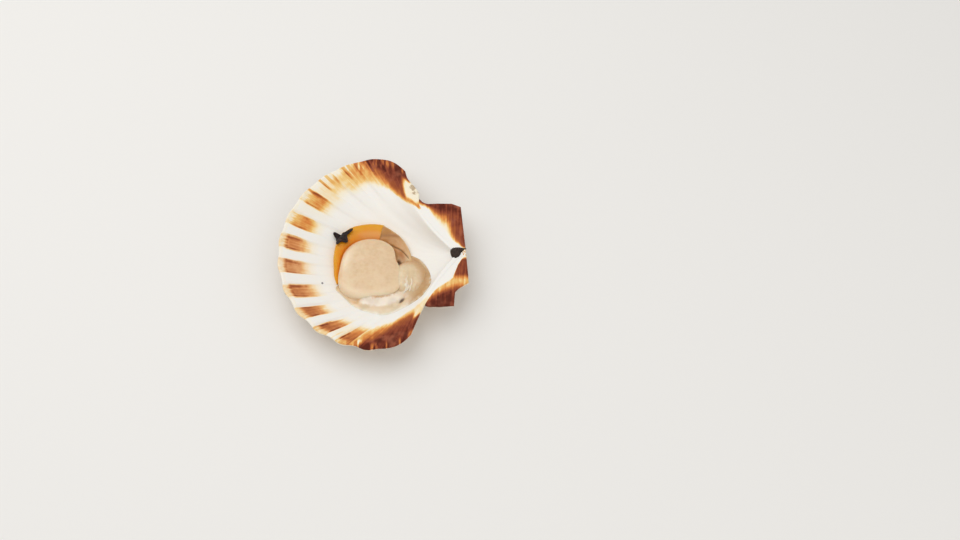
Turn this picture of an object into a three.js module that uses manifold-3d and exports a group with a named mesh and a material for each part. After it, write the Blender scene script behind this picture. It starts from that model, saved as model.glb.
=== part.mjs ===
// A king scallop served in its own cupped half shell: one ribbed shell with two ears, the black
// hinge cushion, and the meat that lies in it. Millimetres, +Z up.
//
// Frame: the hinge is at +X and the curved front edge of the shell at -X. The shell rests on its
// round underside, and the origin is the middle of its bounding box, on the surface it stands on.
//
// Most sizes are worked out in the shell's own plan: "out" runs from the beak at the hinge to the
// front edge (-X), "side" runs to +Y, and height is measured from the plane of the rim.

import * as THREE from 'three';
import { ParametricGeometry } from 'three/addons/geometries/ParametricGeometry.js';
import { mergeVertices } from 'three/addons/utils/BufferGeometryUtils.js';
import Module from 'manifold-3d';

const wasm = await Module();
wasm.setup();

// ---------------------------------------------------------------- driving dimensions

// Round front of the shell, an ellipse seen from above.
const DISC_CENTRE_OUT = 41.0;
const DISC_CENTRE_SIDE = 1.6;
const DISC_HALF_HEIGHT = 52.6;
const DISC_HALF_WIDTH = 55.3;

// Flanks: the angle of the outermost ray at the rim, how far it bows in near the beak, and how far
// the far one flares out at its lip, between two shares of its length.
const FLANK_ANGLE = { far: 58.5, near: 61.0 };
const FLANK_BOW = { far: 19.0, near: 11.0 };
const FAR_LIP = { flare: 3.9, from: 0.62, widest: 0.73, to: 0.95 };
const SHOULDER_CUT = 0.125;
const SHOULDER_SHARPNESS = 36;
const SHOULDER_RAYS = 7;

// Bowl.
const HOLLOW_DEPTH = 13.8;
const OUTER_DEPTH = 16.2;
const DEPTH_RISE = 0.85;
const CROSS_POWER = 2.4;
const CROSS_ROUNDING = 0.9;
const EDGE_THICKNESS = 1.6;
const RIM_LEDGE = 1.3;
const FLANK_LEDGE = 0.03;
const HINGE_WALL = 3.4;
const UNDERSIDE_FLAT = 0.45;
const BODY_ROWS = 13;
const HOLLOW_ROWS = 14;

// Ribs: flat-bottomed channels inside, round ribs outside, fanned from the beak. Widths across the
// fan are shares of its pitch, half of them to each side of a channel's middle.
const CHANNELS = 12;
const FAN_AXIS = 0.7;
const FAN_PITCH = 9.1;
const FAN_CROWDING = 0.005;
const RIBS_FADE = { from: -0.1, to: 0.3 };
const CHANNEL_FLOOR = 0.18;
const CHANNEL_EDGE = 0.3;
const CHANNEL_DEPTH = 0.9;
const CHANNEL_START = 0.6;
const CHANNEL_FULL = 0.9;
const RIB_HEIGHT = 1.6;
const RIM_WAVE = 0.9;

// Ears and hinge plate, as corners in plan (out, side).
const EAR_THICKNESS = 2.1;
const EAR_DROP = 0.25;
const EAR_BEVEL = 0.3;
const FAR_EAR = { hinge: [1.2, 27.8], corner: [6.0, 29.8], waist: [18.4, 29.6], notch: [23.4, 32.6] };
const NEAR_EAR = {
  notch: [18.4, -29.9],
  corner: [11.0, -30.3],
  heel: [4.3, -29.7],
  chipIn: [3.8, -21.9],
  chipOut: [2.2, -20.1],
  hinge: [-3.1, -16.6],
};
const HINGE_MIDDLE = [-1.7, 0];
const PLATE_INNER = [[24.6, 25.5], [22.5, 21], [13, 7], [8.5, -1], [12.5, -10], [20, -23], [20.6, -26.5]];

// Meat. Angles run round the centre of the big muscle, from the front edge towards +Y. TALL is how
// far above the rim a cutting solid reaches.
const GAP = 0.3;
const MUSCLE_CENTRE = [47.6, -4.2];
const MUSCLE_RADII = [15.8, 16.8];
const MUSCLE_UNEVEN = [{ waves: 2, share: 0.018, phase: 0.6 }, { waves: 3, share: 0.012, phase: -1.1 }];
const MUSCLE_CORNERS = [
  { angle: -137, reach: 4.0, spread: 26 },
  { angle: -90, reach: 0.6, spread: 30 },
  { angle: -47, reach: 3.2, spread: 27 },
  { angle: 8, reach: -1.1, spread: 26 },
  { angle: 162, reach: -2.3, spread: 24 },
];
const MUSCLE_TOP = -4.4;
const MUSCLE_SHOULDER = 3.4;
const MUSCLE_LEAN = { rise: 0.4, towards: 70 };
const SMALL_CENTRE = [28.4, -11.6];
const SMALL_RADII = [9.4, 11.6];
const SMALL_TOP = -6.8;
const SMALL_FOOT = 1.4;
const TALL = 4;
const ROLL_EDGE = 0.5;
const ROLL_TIP = 0.2;
const ROLL_FULLNESS = 2.8;
const ROE = {
  angles: [-26, 105],
  reach: (k) => 18.6 + 8.2 * smooth(k, 0.1, 0.85),
  height: 4.8,
  taperStart: 0.3,
  taperEnd: 0.06,
};
const GUT = {
  angles: [106.2, 160],
  reach: (k) => 26.6 - 6.6 * k ** 1.3,
  height: 4.4,
  taperStart: 0.1,
  taperEnd: 0.3,
};
const MANTLE_ANGLES = [-198, -28];
const MANTLE_RADIUS = 21.3;
const MANTLE_LOBE = { reach: 11.8, angle: -158, spread: 38 };
const MANTLE_THICKNESS = 2.2;
const MANTLE_EDGE = 0.4;
const MANTLE_TIP = 14;
const MANTLE_TUCK = 1;
const SCRAP = {
  centre: [62.6, 13.0],
  core: 3.0,
  spikes: [
    { angle: 42, reach: 2.9, spread: 19 },
    { angle: 142, reach: 4.4, spread: 14 },
    { angle: -64, reach: 2.2, spread: 18 },
    { angle: -132, reach: 1.6, spread: 26 },
  ],
  thickness: 1.0,
  lift: 0.6,
  bridge: 1.0,
  curl: 0.9,
};
const HINGE_CUSHION = {
  centre: [3.5, -0.1],
  radii: [2.8, 3.5],
  top: 0.7,
  bottom: -2.0,
  narrowing: 0.2,
  pointsTo: 290,
  rounding: 0.45,
};

// ---------------------------------------------------------------- small helpers

const radians = THREE.MathUtils.degToRad;
const degrees = THREE.MathUtils.radToDeg;
const smooth = THREE.MathUtils.smoothstep;
const mix = THREE.MathUtils.lerp;

function steps(from, to, count) {
  return Array.from({ length: count + 1 }, (_, i) => mix(from, to, i / count));
}

// Steps from 0 to 1 that lie closer together at both ends.
function eased(count) {
  return steps(0, 1, count).map((k) => (0.2 * k) + 0.4 * (1 - Math.cos(Math.PI * k)));
}

// ---------------------------------------------------------------- shape of the shell

// Distance from the beak to the front ellipse along a ray at this angle.
function ellipseReach(angle) {
  const c = Math.cos(angle) / DISC_HALF_HEIGHT;
  const s = Math.sin(angle) / DISC_HALF_WIDTH;
  const u = DISC_CENTRE_OUT / DISC_HALF_HEIGHT;
  const v = DISC_CENTRE_SIDE / DISC_HALF_WIDTH;
  const a = c * c + s * s;
  const b = c * u + s * v;
  return (b + Math.sqrt(b * b - a * (u * u + v * v - 1))) / a;
}

// Position of a ray in the fan of ribs: whole numbers at the ribs between two channels.
function fanPosition(angleDegrees) {
  const offset = angleDegrees - FAN_AXIS;
  const q = offset / FAN_PITCH;
  return q + (FAN_CROWDING / FAN_PITCH) * q ** 3;
}

function fanAngle(q) {
  return FAN_AXIS + FAN_PITCH * q - FAN_CROWDING * q ** 3;
}

// 1 in the ribbed part of the fan and 0 on the plain shoulders.
function ribbed(q) {
  return 1 - smooth(Math.abs(q), CHANNELS / 2 + RIBS_FADE.from, CHANNELS / 2 + RIBS_FADE.to);
}

// 1 on a channel's floor and 0 on the flat between two channels.
function channel(q) {
  const fromFloor = Math.abs(q - Math.floor(q) - 0.5);
  return (1 - smooth(fromFloor, CHANNEL_FLOOR, CHANNEL_EDGE)) * ribbed(q);
}

// Round rib on the outside, right under each channel.
function outerRib(q) {
  return (0.5 - 0.5 * Math.cos(2 * Math.PI * q)) * ribbed(q);
}

function rayAngle(s) {
  return Math.abs(s) * (s < 0 ? -FLANK_ANGLE.near : FLANK_ANGLE.far);
}

// Length of ray s, from the beak to the rim.
function rayLength(s) {
  const angle = rayAngle(s);
  const wave = RIM_WAVE * outerRib(fanPosition(angle));
  return ellipseReach(radians(angle)) * (1 - SHOULDER_CUT * Math.abs(s) ** SHOULDER_SHARPNESS) + wave;
}

// 1 where the far flank flares out most, and 0 beyond both ends of its lip.
function lipRise(t) {
  return smooth(t, FAR_LIP.from, FAR_LIP.widest) * (1 - smooth(t, FAR_LIP.widest, FAR_LIP.to));
}

// Plan position of the point at fraction t along ray s. The outer rays bow in near the beak.
function discPoint(s, t) {
  const bow = (s < 0 ? FLANK_BOW.near : FLANK_BOW.far) * s ** 3 * (1 - t);
  const flare = FAR_LIP.flare * Math.max(0, s) ** 9 * lipRise(t);
  const angle = radians(rayAngle(s) - bow + flare);
  const length = rayLength(s) * t;
  return [length * Math.cos(angle), length * Math.sin(angle)];
}

// Depth of the bowl as a share of its deepest point: along the rays, and across them.
const DEEPEST = DEPTH_RISE / (1 + DEPTH_RISE);
const RISE_SCALE = 1 / (DEEPEST ** DEPTH_RISE * (1 - DEEPEST));

function depthAlong(t) {
  return RISE_SCALE * t ** DEPTH_RISE * (1 - t);
}

function depthAcross(s) {
  return (1 - Math.min(1, Math.abs(s)) ** CROSS_POWER) ** CROSS_ROUNDING;
}

function outerHeight(s, t) {
  const bowl = EDGE_THICKNESS + (OUTER_DEPTH - EDGE_THICKNESS) * depthAlong(t) * depthAcross(s);
  return -bowl - RIB_HEIGHT * Math.sqrt(t) * outerRib(fanPosition(rayAngle(s)));
}

// The hollow is the same bowl drawn in: a ledge at the rim and flanks, a thicker wall at the hinge.
const FLANK_INSET = 1 - FLANK_LEDGE;

function hollowPoint(s, t) {
  const inset = 1 - RIM_LEDGE / rayLength(s * FLANK_INSET);
  const [out, side] = discPoint(s * FLANK_INSET, t * inset);
  return [out + HINGE_WALL * (1 - t), side];
}

function hollowHeight(s, t) {
  const recess = CHANNEL_DEPTH * smooth(t, CHANNEL_START, CHANNEL_FULL);
  return -HOLLOW_DEPTH * depthAlong(t) * depthAcross(s)
    - recess * channel(fanPosition(rayAngle(s * FLANK_INSET)));
}

// Height of the hollow's floor under a plan position, found by walking back to its ray.
function floorHeight(out, side) {
  let t = 0.5;
  let s = 0;
  for (let round = 0; round < 8; round += 1) {
    const ahead = out - HINGE_WALL * (1 - t);
    const angle = degrees(Math.atan2(side, ahead));
    const near = angle < 0;
    const bow = (near ? FLANK_BOW.near : FLANK_BOW.far) * s ** 3 * (1 - t);
    s = (angle + bow) / (near ? FLANK_ANGLE.near : FLANK_ANGLE.far) / FLANK_INSET;
    s = THREE.MathUtils.clamp(s, -0.999, 0.999);
    t = Math.hypot(ahead, side) / (rayLength(s * FLANK_INSET) - RIM_LEDGE);
    t = Math.min(t, 0.999);
  }
  return hollowHeight(s, t);
}

// ---------------------------------------------------------------- solids

// Height of the rim above the surface that the shell stands on, with the ribs' crests worn flat.
const RAYS = fanRays();
const RIM_HEIGHT = -Math.min(...RAYS.map((s) => outerHeight(s, DEEPEST))) - UNDERSIDE_FLAT;

// Places the middle of the outline's box over the origin.
const BEAK_X = (DISC_CENTRE_OUT + DISC_HALF_HEIGHT + RIM_WAVE / 2 + NEAR_EAR.hinge[0]) / 2;
const BEAK_Y = -DISC_CENTRE_SIDE;

// The rays of the grid: at the corners of each channel, and ever closer on the plain shoulders.
function fanRays() {
  const corners = [-0.5, -CHANNEL_EDGE, -CHANNEL_FLOOR, 0, CHANNEL_FLOOR, CHANNEL_EDGE];
  const positions = [];
  for (let q = -CHANNELS / 2; q < CHANNELS / 2; q += 1) {
    positions.push(...corners.map((c) => q + 0.5 + c));
  }
  positions.push(CHANNELS / 2);
  const rays = positions.map((q) => {
    const angle = fanAngle(q);
    return angle / (angle < 0 ? FLANK_ANGLE.near : FLANK_ANGLE.far);
  });
  const shoulder = steps(0, 1, SHOULDER_RAYS).slice(1).map((k) => Math.sin((k * Math.PI) / 2));
  const left = shoulder.map((k) => mix(rays[0], -1, k)).reverse();
  const right = shoulder.map((k) => mix(rays[rays.length - 1], 1, k));
  return [...left, ...rays, ...right];
}

function place(out, side, height, target) {
  return target.set(BEAK_X - out, BEAK_Y + side, RIM_HEIGHT + height);
}

// Turns a geometry into a closed solid for cutting and joining.
function solidOf(geometry) {
  geometry.deleteAttribute('normal');
  geometry.deleteAttribute('uv');
  const welded = mergeVertices(geometry, 1e-4);
  const corners = welded.index.array;
  const triangles = [];
  for (let i = 0; i < corners.length; i += 3) {
    const [a, b, c] = [corners[i], corners[i + 1], corners[i + 2]];
    if (a !== b && b !== c && c !== a) triangles.push(a, b, c);
  }
  return new wasm.Manifold(new wasm.Mesh({
    numProp: 3,
    vertProperties: new Float32Array(welded.attributes.position.array),
    triVerts: new Uint32Array(triangles),
  }));
}

// A closed body between a lower and an upper face over the same plan. Its grid runs out over the
// lower face and back over the upper one, and the end columns and rows meet at half height.
function slab({ columns, rows, plan, lower, upper, round = false }) {
  const lastRow = rows.length - 1;
  const slices = round ? columns.length - 1 : columns.length + 1;
  const stacks = 2 * rows.length + 1;
  const geometry = new ParametricGeometry((across, along, target) => {
    const i = slices - Math.round(across * slices);
    const j = Math.round(along * stacks);
    const column = round ? i : THREE.MathUtils.clamp(i - 1, 0, columns.length - 1);
    const row = THREE.MathUtils.clamp(j <= lastRow + 1 ? j - 1 : 2 * lastRow + 2 - j, 0, lastRow);
    const [s, t] = [columns[column], rows[row]];
    const [low, high] = [lower(s, t), upper(s, t)];
    const closing = (!round && (i === 0 || i === slices)) || j === 0 || j === stacks;
    const height = closing ? (low + high) / 2 : (j <= lastRow + 1 ? low : high);
    const [out, side] = plan(s, t);
    place(out, side, height, target);
  }, slices, stacks);
  return solidOf(geometry);
}

// Its last row lies past the rim, so that it cuts a clean edge.
function hollowSolid() {
  return slab({
    columns: RAYS,
    rows: [...eased(HOLLOW_ROWS), 1.04],
    plan: hollowPoint,
    lower: hollowHeight,
    upper: () => TALL,
  });
}

function platePoints() {
  const outline = [
    FAR_EAR.hinge, FAR_EAR.corner, FAR_EAR.waist, FAR_EAR.notch,
    ...PLATE_INNER,
    NEAR_EAR.notch, NEAR_EAR.corner, NEAR_EAR.heel, NEAR_EAR.chipIn, NEAR_EAR.chipOut, NEAR_EAR.hinge,
    HINGE_MIDDLE,
  ];
  return outline.map(([out, side]) => new THREE.Vector2(BEAK_X - out, BEAK_Y + side));
}

function hingePlate() {
  const plate = new THREE.ExtrudeGeometry(new THREE.Shape(platePoints()), {
    depth: EAR_THICKNESS - 2 * EAR_BEVEL,
    bevelSize: EAR_BEVEL,
    bevelThickness: EAR_BEVEL,
    bevelOffset: -EAR_BEVEL,
    bevelSegments: 1,
  });
  plate.translate(0, 0, RIM_HEIGHT - EAR_DROP - EAR_THICKNESS + EAR_BEVEL);
  return solidOf(plate);
}

// The black cushion in the middle of the hinge: a blunt wedge, narrower towards the bowl.
function cushionSolid(grow) {
  const { centre, radii, top, bottom, narrowing, pointsTo, rounding } = HINGE_CUSHION;
  const rounded = (t) => (top - bottom) * rounding * t ** 5;
  return slab({
    columns: steps(0, 360, 18),
    rows: [0, 0.5, 0.8, 0.94, 1],
    round: true,
    plan: (angle, t) => {
      const turn = radians(angle);
      const taper = 1 - narrowing * Math.cos(turn - radians(pointsTo)) ** 3;
      return [
        centre[0] + (radii[0] + grow) * t * Math.cos(turn) * taper,
        centre[1] + (radii[1] + grow) * t * Math.sin(turn) * taper,
      ];
    },
    lower: (angle, t) => bottom - grow + rounded(t),
    upper: (angle, t) => top + grow - rounded(t),
  });
}

// Bowl and hinge plate in one, with the hollow and the cushion's bed cut out and the lowest ribs
// worn flat where the shell stands.
function shellSolid() {
  const body = slab({
    columns: RAYS,
    rows: eased(BODY_ROWS),
    plan: discPoint,
    lower: outerHeight,
    upper: () => 0,
  });
  return body
    .add(hingePlate())
    .subtract(hollowSolid())
    .subtract(cushionSolid(GAP))
    .trimByPlane([0, 0, 1], 0);
}

// Plan position at an angle and radius round the big muscle.
function roundMuscle(angle, radius) {
  const turn = radians(angle);
  return [MUSCLE_CENTRE[0] + radius * Math.cos(turn), MUSCLE_CENTRE[1] + radius * Math.sin(turn)];
}

// A sum of rounded bumps round a centre, each its own reach high at its own angle.
function bumps(list, angle) {
  return list.reduce((sum, bump) => {
    const turn = THREE.MathUtils.euclideanModulo(angle - bump.angle + 180, 360) - 180;
    return sum + bump.reach * Math.exp(-((turn / bump.spread) ** 2));
  }, 0);
}

// Distance from the centre of the big muscle to its side: an uneven oval with blunt corners.
function muscleReach(angle) {
  const turn = radians(angle);
  const [a, b] = MUSCLE_RADII;
  const oval = (a * b) / Math.hypot(b * Math.cos(turn), a * Math.sin(turn));
  return MUSCLE_UNEVEN.reduce((reach, { waves, share, phase }) => (
    reach + oval * share * Math.cos(waves * turn + phase)
  ), oval + bumps(MUSCLE_CORNERS, angle));
}

// Underside of the meat: the shell's floor and the gap over it.
function restingHeight([out, side]) {
  return floorHeight(out, side) + GAP;
}

// The big muscle: a short drum with a rounded top edge, leaning a little towards the near side.
// Grown and tall, it cuts its neighbours back to the gap.
function muscleSolid(grow, tall = false) {
  const plan = (angle, t) => roundMuscle(angle, (muscleReach(angle) + grow) * t);
  const shoulder = (t) => MUSCLE_SHOULDER * (1 - Math.sqrt(Math.max(0, 1 - t ** 7)));
  const lean = (angle, t) => MUSCLE_LEAN.rise * Math.cos(radians(angle - MUSCLE_LEAN.towards)) * t * t;
  return slab({
    columns: steps(0, 360, 40),
    rows: [0, 0.3, 0.55, 0.74, 0.87, 0.95, 1],
    round: true,
    plan,
    lower: (angle, t) => restingHeight(plan(angle, t)) - grow,
    upper: (angle, t) => (tall ? TALL : MUSCLE_TOP - shoulder(t) + lean(angle, t)),
  });
}

// The small pale muscle on the hinge side, an oval that the big one presses into.
function smallMuscleSolid(grow, tall = false) {
  const [a, b] = SMALL_RADII;
  const plan = (angle, t) => [
    SMALL_CENTRE[0] + (a + grow) * t * Math.cos(radians(angle)),
    SMALL_CENTRE[1] + (b + grow) * t * Math.sin(radians(angle)),
  ];
  return slab({
    columns: steps(0, 360, 32),
    rows: [0, 0.3, 0.56, 0.78, 0.93, 1],
    round: true,
    plan,
    lower: (angle, t) => restingHeight(plan(angle, t)) - grow,
    upper: (angle, t) => (tall ? TALL : mix(SMALL_TOP, restingHeight(plan(angle, t)) + SMALL_FOOT, t ** 4)),
  });
}

// Height of a soft roll above the shell, at fraction k along it and t across it.
function rollCrown({ height, taperStart, taperEnd }, k, t) {
  const ends = smooth(k, 0, taperStart) * (1 - smooth(k, 1 - taperEnd, 1));
  const section = Math.sqrt(Math.max(0, 1 - Math.abs(2 * t - 1) ** ROLL_FULLNESS));
  return ROLL_EDGE + (height - ROLL_EDGE) * mix(ROLL_TIP, 1, ends) * section;
}

// A soft roll lying against the big muscle between two angles, round on top.
function rollSolid(roll, parts) {
  const [from, to] = roll.angles;
  const along = (angle) => (angle - from) / (to - from);
  const plan = (angle, t) => roundMuscle(angle, mix(muscleReach(angle) + GAP, roll.reach(along(angle)), t));
  return slab({
    columns: steps(from, to, parts),
    rows: [0, 0.08, 0.22, 0.4, 0.6, 0.78, 0.92, 1],
    plan,
    lower: (angle, t) => restingHeight(plan(angle, t)),
    upper: (angle, t) => restingHeight(plan(angle, t)) + rollCrown(roll, along(angle), t),
  });
}

// Top of the roe over a plan position, or the shell where there is no roe.
function roeTop(out, side) {
  const [ahead, across] = [out - MUSCLE_CENTRE[0], side - MUSCLE_CENTRE[1]];
  const angle = degrees(Math.atan2(across, ahead));
  const k = (angle - ROE.angles[0]) / (ROE.angles[1] - ROE.angles[0]);
  const inner = muscleReach(angle) + GAP;
  const t = (Math.hypot(ahead, across) - inner) / (ROE.reach(k) - inner);
  const covered = t > 0 && t < 1 && k > 0 && k < 1;
  return restingHeight([out, side]) + (covered ? rollCrown(ROE, k, t) : 0);
}

// The same, but as high as it is a little further in, where skin bridges the steep outer edge.
function bridgedRoeTop(out, side) {
  const inwards = Math.atan2(MUSCLE_CENTRE[1] - side, MUSCLE_CENTRE[0] - out);
  const furtherIn = [out + SCRAP.bridge * Math.cos(inwards), side + SCRAP.bridge * Math.sin(inwards)];
  return Math.max(roeTop(out, side), roeTop(...furtherIn));
}

function mantleReach(angle) {
  const { reach, angle: lobe, spread } = MANTLE_LOBE;
  return MANTLE_RADIUS + reach * Math.exp(-(((angle - lobe) / spread) ** 2));
}

// The thin frill round the foot of both muscles.
function mantleSolid() {
  const [from, to] = MANTLE_ANGLES;
  const inner = (angle) => muscleReach(angle) - MANTLE_TUCK;
  const plan = (angle, t) => roundMuscle(angle, mix(inner(angle), mantleReach(angle), t));
  const ends = (angle) => smooth(angle, from, from + MANTLE_TIP) * (1 - smooth(angle, to - MANTLE_TIP, to));
  const fullness = (angle, t) => mix(ROLL_TIP, 1, ends(angle)) * Math.sqrt(1 - t ** 3);
  const thickness = (angle, t) => mix(MANTLE_EDGE, MANTLE_THICKNESS, fullness(angle, t));
  return slab({
    columns: steps(from, to, 36),
    rows: [0, 0.4, 0.66, 0.84, 0.95, 1],
    plan,
    lower: (angle, t) => restingHeight(plan(angle, t)),
    upper: (angle, t) => restingHeight(plan(angle, t)) + thickness(angle, t),
  });
}

// The dark pointed scrap of skin draped over the outer edge of the roe, its tips curled up.
function scrapSolid() {
  const reach = (angle) => SCRAP.core + bumps(SCRAP.spikes, angle);
  const plan = (angle, t) => [
    SCRAP.centre[0] + reach(angle) * t * Math.cos(radians(angle)),
    SCRAP.centre[1] + reach(angle) * t * Math.sin(radians(angle)),
  ];
  const rest = (angle, t) => bridgedRoeTop(...plan(angle, t)) + SCRAP.lift + SCRAP.curl * t ** 3;
  return slab({
    columns: steps(0, 360, 36),
    rows: [0, 0.3, 0.55, 0.8, 1],
    round: true,
    plan,
    lower: rest,
    upper: (angle, t) => rest(angle, t) + SCRAP.thickness * (1 - 0.7 * t * t),
  });
}

// ---------------------------------------------------------------- the scallop

function piece(name, solid, colour, roughness) {
  const { vertProperties, triVerts, numProp } = solid.getMesh();
  const positions = new Float32Array((vertProperties.length / numProp) * 3);
  for (let i = 0; i < positions.length / 3; i += 1) {
    positions.set(vertProperties.subarray(i * numProp, i * numProp + 3), i * 3);
  }
  const geometry = new THREE.BufferGeometry();
  geometry.setAttribute('position', new THREE.BufferAttribute(positions, 3));
  geometry.setIndex(new THREE.BufferAttribute(new Uint32Array(triVerts), 1));
  geometry.computeVertexNormals();
  const material = new THREE.MeshStandardMaterial({ color: colour, roughness, metalness: 0 });
  const mesh = new THREE.Mesh(geometry, material);
  mesh.name = name;
  return mesh;
}

const bigMuscle = muscleSolid(0);
const smallMuscle = smallMuscleSolid(0).subtract(muscleSolid(GAP, true));
const bothGrown = muscleSolid(GAP, true).add(smallMuscleSolid(GAP, true));

const scallop = new THREE.Group();
scallop.name = 'scallop_in_shell';
scallop.add(
  piece('shell', shellSolid(), 0xf0ece2, 0.35),
  piece('hinge_cushion', cushionSolid(0), 0x2b211d, 0.5),
  piece('big_muscle', bigMuscle, 0xe4c8a5, 0.3),
  piece('small_muscle', smallMuscle, 0xe9dcc4, 0.2),
  piece('roe', rollSolid(ROE, 28), 0xe89a38, 0.25),
  piece('gut', rollSolid(GUT, 14).subtract(bothGrown), 0xc39b68, 0.3),
  piece('mantle', mantleSolid().subtract(bothGrown), 0xead9bd, 0.2),
  piece('skin_scrap', scrapSolid(), 0x291413, 0.4),
);

export default scallop;
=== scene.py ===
import bpy
import numpy as np
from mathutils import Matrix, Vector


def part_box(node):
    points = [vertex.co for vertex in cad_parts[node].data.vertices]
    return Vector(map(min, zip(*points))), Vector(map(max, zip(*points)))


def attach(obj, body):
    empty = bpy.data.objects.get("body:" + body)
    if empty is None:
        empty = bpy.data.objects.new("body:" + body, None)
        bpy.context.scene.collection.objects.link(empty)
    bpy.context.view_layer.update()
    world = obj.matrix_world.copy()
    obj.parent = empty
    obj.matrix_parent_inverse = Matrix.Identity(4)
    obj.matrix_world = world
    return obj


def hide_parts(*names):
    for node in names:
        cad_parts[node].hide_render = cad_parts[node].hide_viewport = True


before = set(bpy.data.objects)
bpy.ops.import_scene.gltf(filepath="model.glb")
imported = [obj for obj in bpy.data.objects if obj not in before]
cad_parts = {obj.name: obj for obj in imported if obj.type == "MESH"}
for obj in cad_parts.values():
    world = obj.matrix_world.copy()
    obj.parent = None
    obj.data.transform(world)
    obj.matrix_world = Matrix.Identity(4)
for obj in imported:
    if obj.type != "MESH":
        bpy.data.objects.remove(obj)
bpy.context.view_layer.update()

# ==== The cupped half shell ===========================================================
# The lower valve of a king scallop: hard chalky layers grown in one piece, lined with smooth
# porcelain, with two ears along a straight hinge. Sizes are in millimetres in the shell's own plan:
# "out" from the beak to the front edge, "side" across it, height from the plane of the rim.

MM = 0.001
RIM_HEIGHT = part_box("shell")[1].z / MM
BEAK = (45.475, -1.6)
# The shell's two sides, and which way "side" runs on each.
SIDES = (("far", 1.0), ("near", -1.0))

# Plan of the disc: an ellipse between two flanks that leave the beak at these angles, bowed inwards.
# The far one flares out into a lip.
DISC_CENTRE = (41.0, 1.6)
DISC_RADII = (52.6, 55.3)
FLANK_ANGLE = {"far": 58.5, "near": 61.0}
FLANK_BOW = {"far": 19.0, "near": 11.0}
FAR_LIP_FLARE = 3.9
FAR_LIP_FROM, FAR_LIP_WIDEST, FAR_LIP_TO = 0.62, 0.73, 0.95
SHOULDER_CUT = 0.125
SHOULDER_SHARPNESS = 36

# The bowl: its depth inside and outside, how that rises from the beak and the flanks, and its wall.
HOLLOW_DEPTH = 13.8
OUTER_DEPTH = 16.2
DEPTH_RISE = 0.85
CROSS_POWER = 2.4
CROSS_ROUNDING = 0.9
EDGE_THICKNESS = 1.6
EDGE_ROUNDING = 0.8
RIM_LEDGE = 1.3
FLANK_INSET = 0.97
HINGE_WALL = 3.4
FOLD_ROUNDING = 0.6

# Channels inside, with a round rib under each, fanned from the beak. Angles are in degrees.
CHANNELS = 12
FAN_AXIS = 0.7
FAN_PITCH = 9.1
FAN_CROWDING = 0.005
CHANNEL_DEPTH = 0.9
FAINT_DEPTH = 0.16
RIB_HEIGHT = 1.6
RIM_WAVE = 0.9
RIBLETS = 5
RIBLET_HEIGHT = 0.12
GROWTH_HEIGHT = 0.1

# The ears: a thin plate, just below the rim. Each has its corners, out along the hinge and back along
# its free edge to the notch, which of them ends the hinge, and the share of its rows along the hinge.
EAR_DROP = 0.25
EAR_THICKNESS = 2.1
NOTCH_SHARE = {"far": 0.688, "near": 0.668}
HINGE_MIDDLE = (-1.7, 0.0)
EARS = {
    "far": {"corners": ((1.2, 27.8), (6.0, 29.8), (13.7, 29.9), (18.4, 29.6), (20.8, 30.6)),
            "hinge_end": 0, "hinge_rows": 0.55},
    "near": {"corners": ((-3.1, -16.6), (2.2, -20.1), (3.8, -21.9), (4.3, -29.7), (11.0, -30.3),
                         (17.6, -30.2)),
             "hinge_end": 3, "hinge_rows": 0.75},
}


def eased_step(x, start, end):
    """0 before start and 1 after end, with a smooth S between them; start may be the higher one."""
    k = np.clip((x - start) / (end - start), 0, 1)
    return k * k * (3 - 2 * k)


def plateau(x, start, full, fading, end):
    """1 from full to fading and 0 before start and after end, with a smooth S on either side."""
    return eased_step(x, start, full) * eased_step(x, end, fading)


def blend(a, b, share):
    """a where the share is 0, b where it is 1, and in proportion between them."""
    return a + (b - a) * share


def soft_min(a, b, rounding):
    """The lower of two heights, with the crease between them rounded off."""
    return -rounding * np.logaddexp(-a / rounding, -b / rounding)


def by_side(s, values):
    """The near value where s is negative, and the far one elsewhere."""
    return np.where(s < 0, values["near"], values["far"])


def read_line(x, corners, **wrap):
    """Height at x of a line drawn straight from corner to corner, each given as (x, height)."""
    return np.interp(x, *zip(*corners), **wrap)


def fan_position(angle):
    """Place in the fan of ribs: whole numbers at the ribs between two channels."""
    q = (angle - FAN_AXIS) / FAN_PITCH
    return q + FAN_CROWDING / FAN_PITCH * q ** 3


def ribbed(q):
    """1 in the ribbed part of the fan and 0 on the plain shoulders."""
    return eased_step(np.abs(q), CHANNELS / 2 + 0.3, CHANNELS / 2 - 0.1)


def channel(q):
    """1 on the flat floor of a channel and 0 on the flat between two channels."""
    return eased_step(np.abs(q - np.floor(q) - 0.5), 0.3, 0.18) * ribbed(q)


def outer_rib(q):
    """One round wave for each channel."""
    return (0.5 - 0.5 * np.cos(2 * np.pi * q)) * ribbed(q)


def ray_angle(s):
    """Angle of ray s in degrees: 0 in the middle, and the flank's own angle at -1 and 1."""
    return s * by_side(s, FLANK_ANGLE)


def ray_length(s):
    """From the beak to the ellipse of the front edge, cut short at the shoulders, with a rim wave."""
    angle = np.radians(ray_angle(s))
    along, across = np.cos(angle) / DISC_RADII[0], np.sin(angle) / DISC_RADII[1]
    u, v = DISC_CENTRE[0] / DISC_RADII[0], DISC_CENTRE[1] / DISC_RADII[1]
    a = along ** 2 + across ** 2
    b = along * u + across * v
    ellipse = (b + np.sqrt(b * b - a * (u * u + v * v - 1))) / a
    cut = 1 - SHOULDER_CUT * np.abs(s) ** SHOULDER_SHARPNESS
    return ellipse * cut + RIM_WAVE * outer_rib(fan_position(ray_angle(s)))


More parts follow.
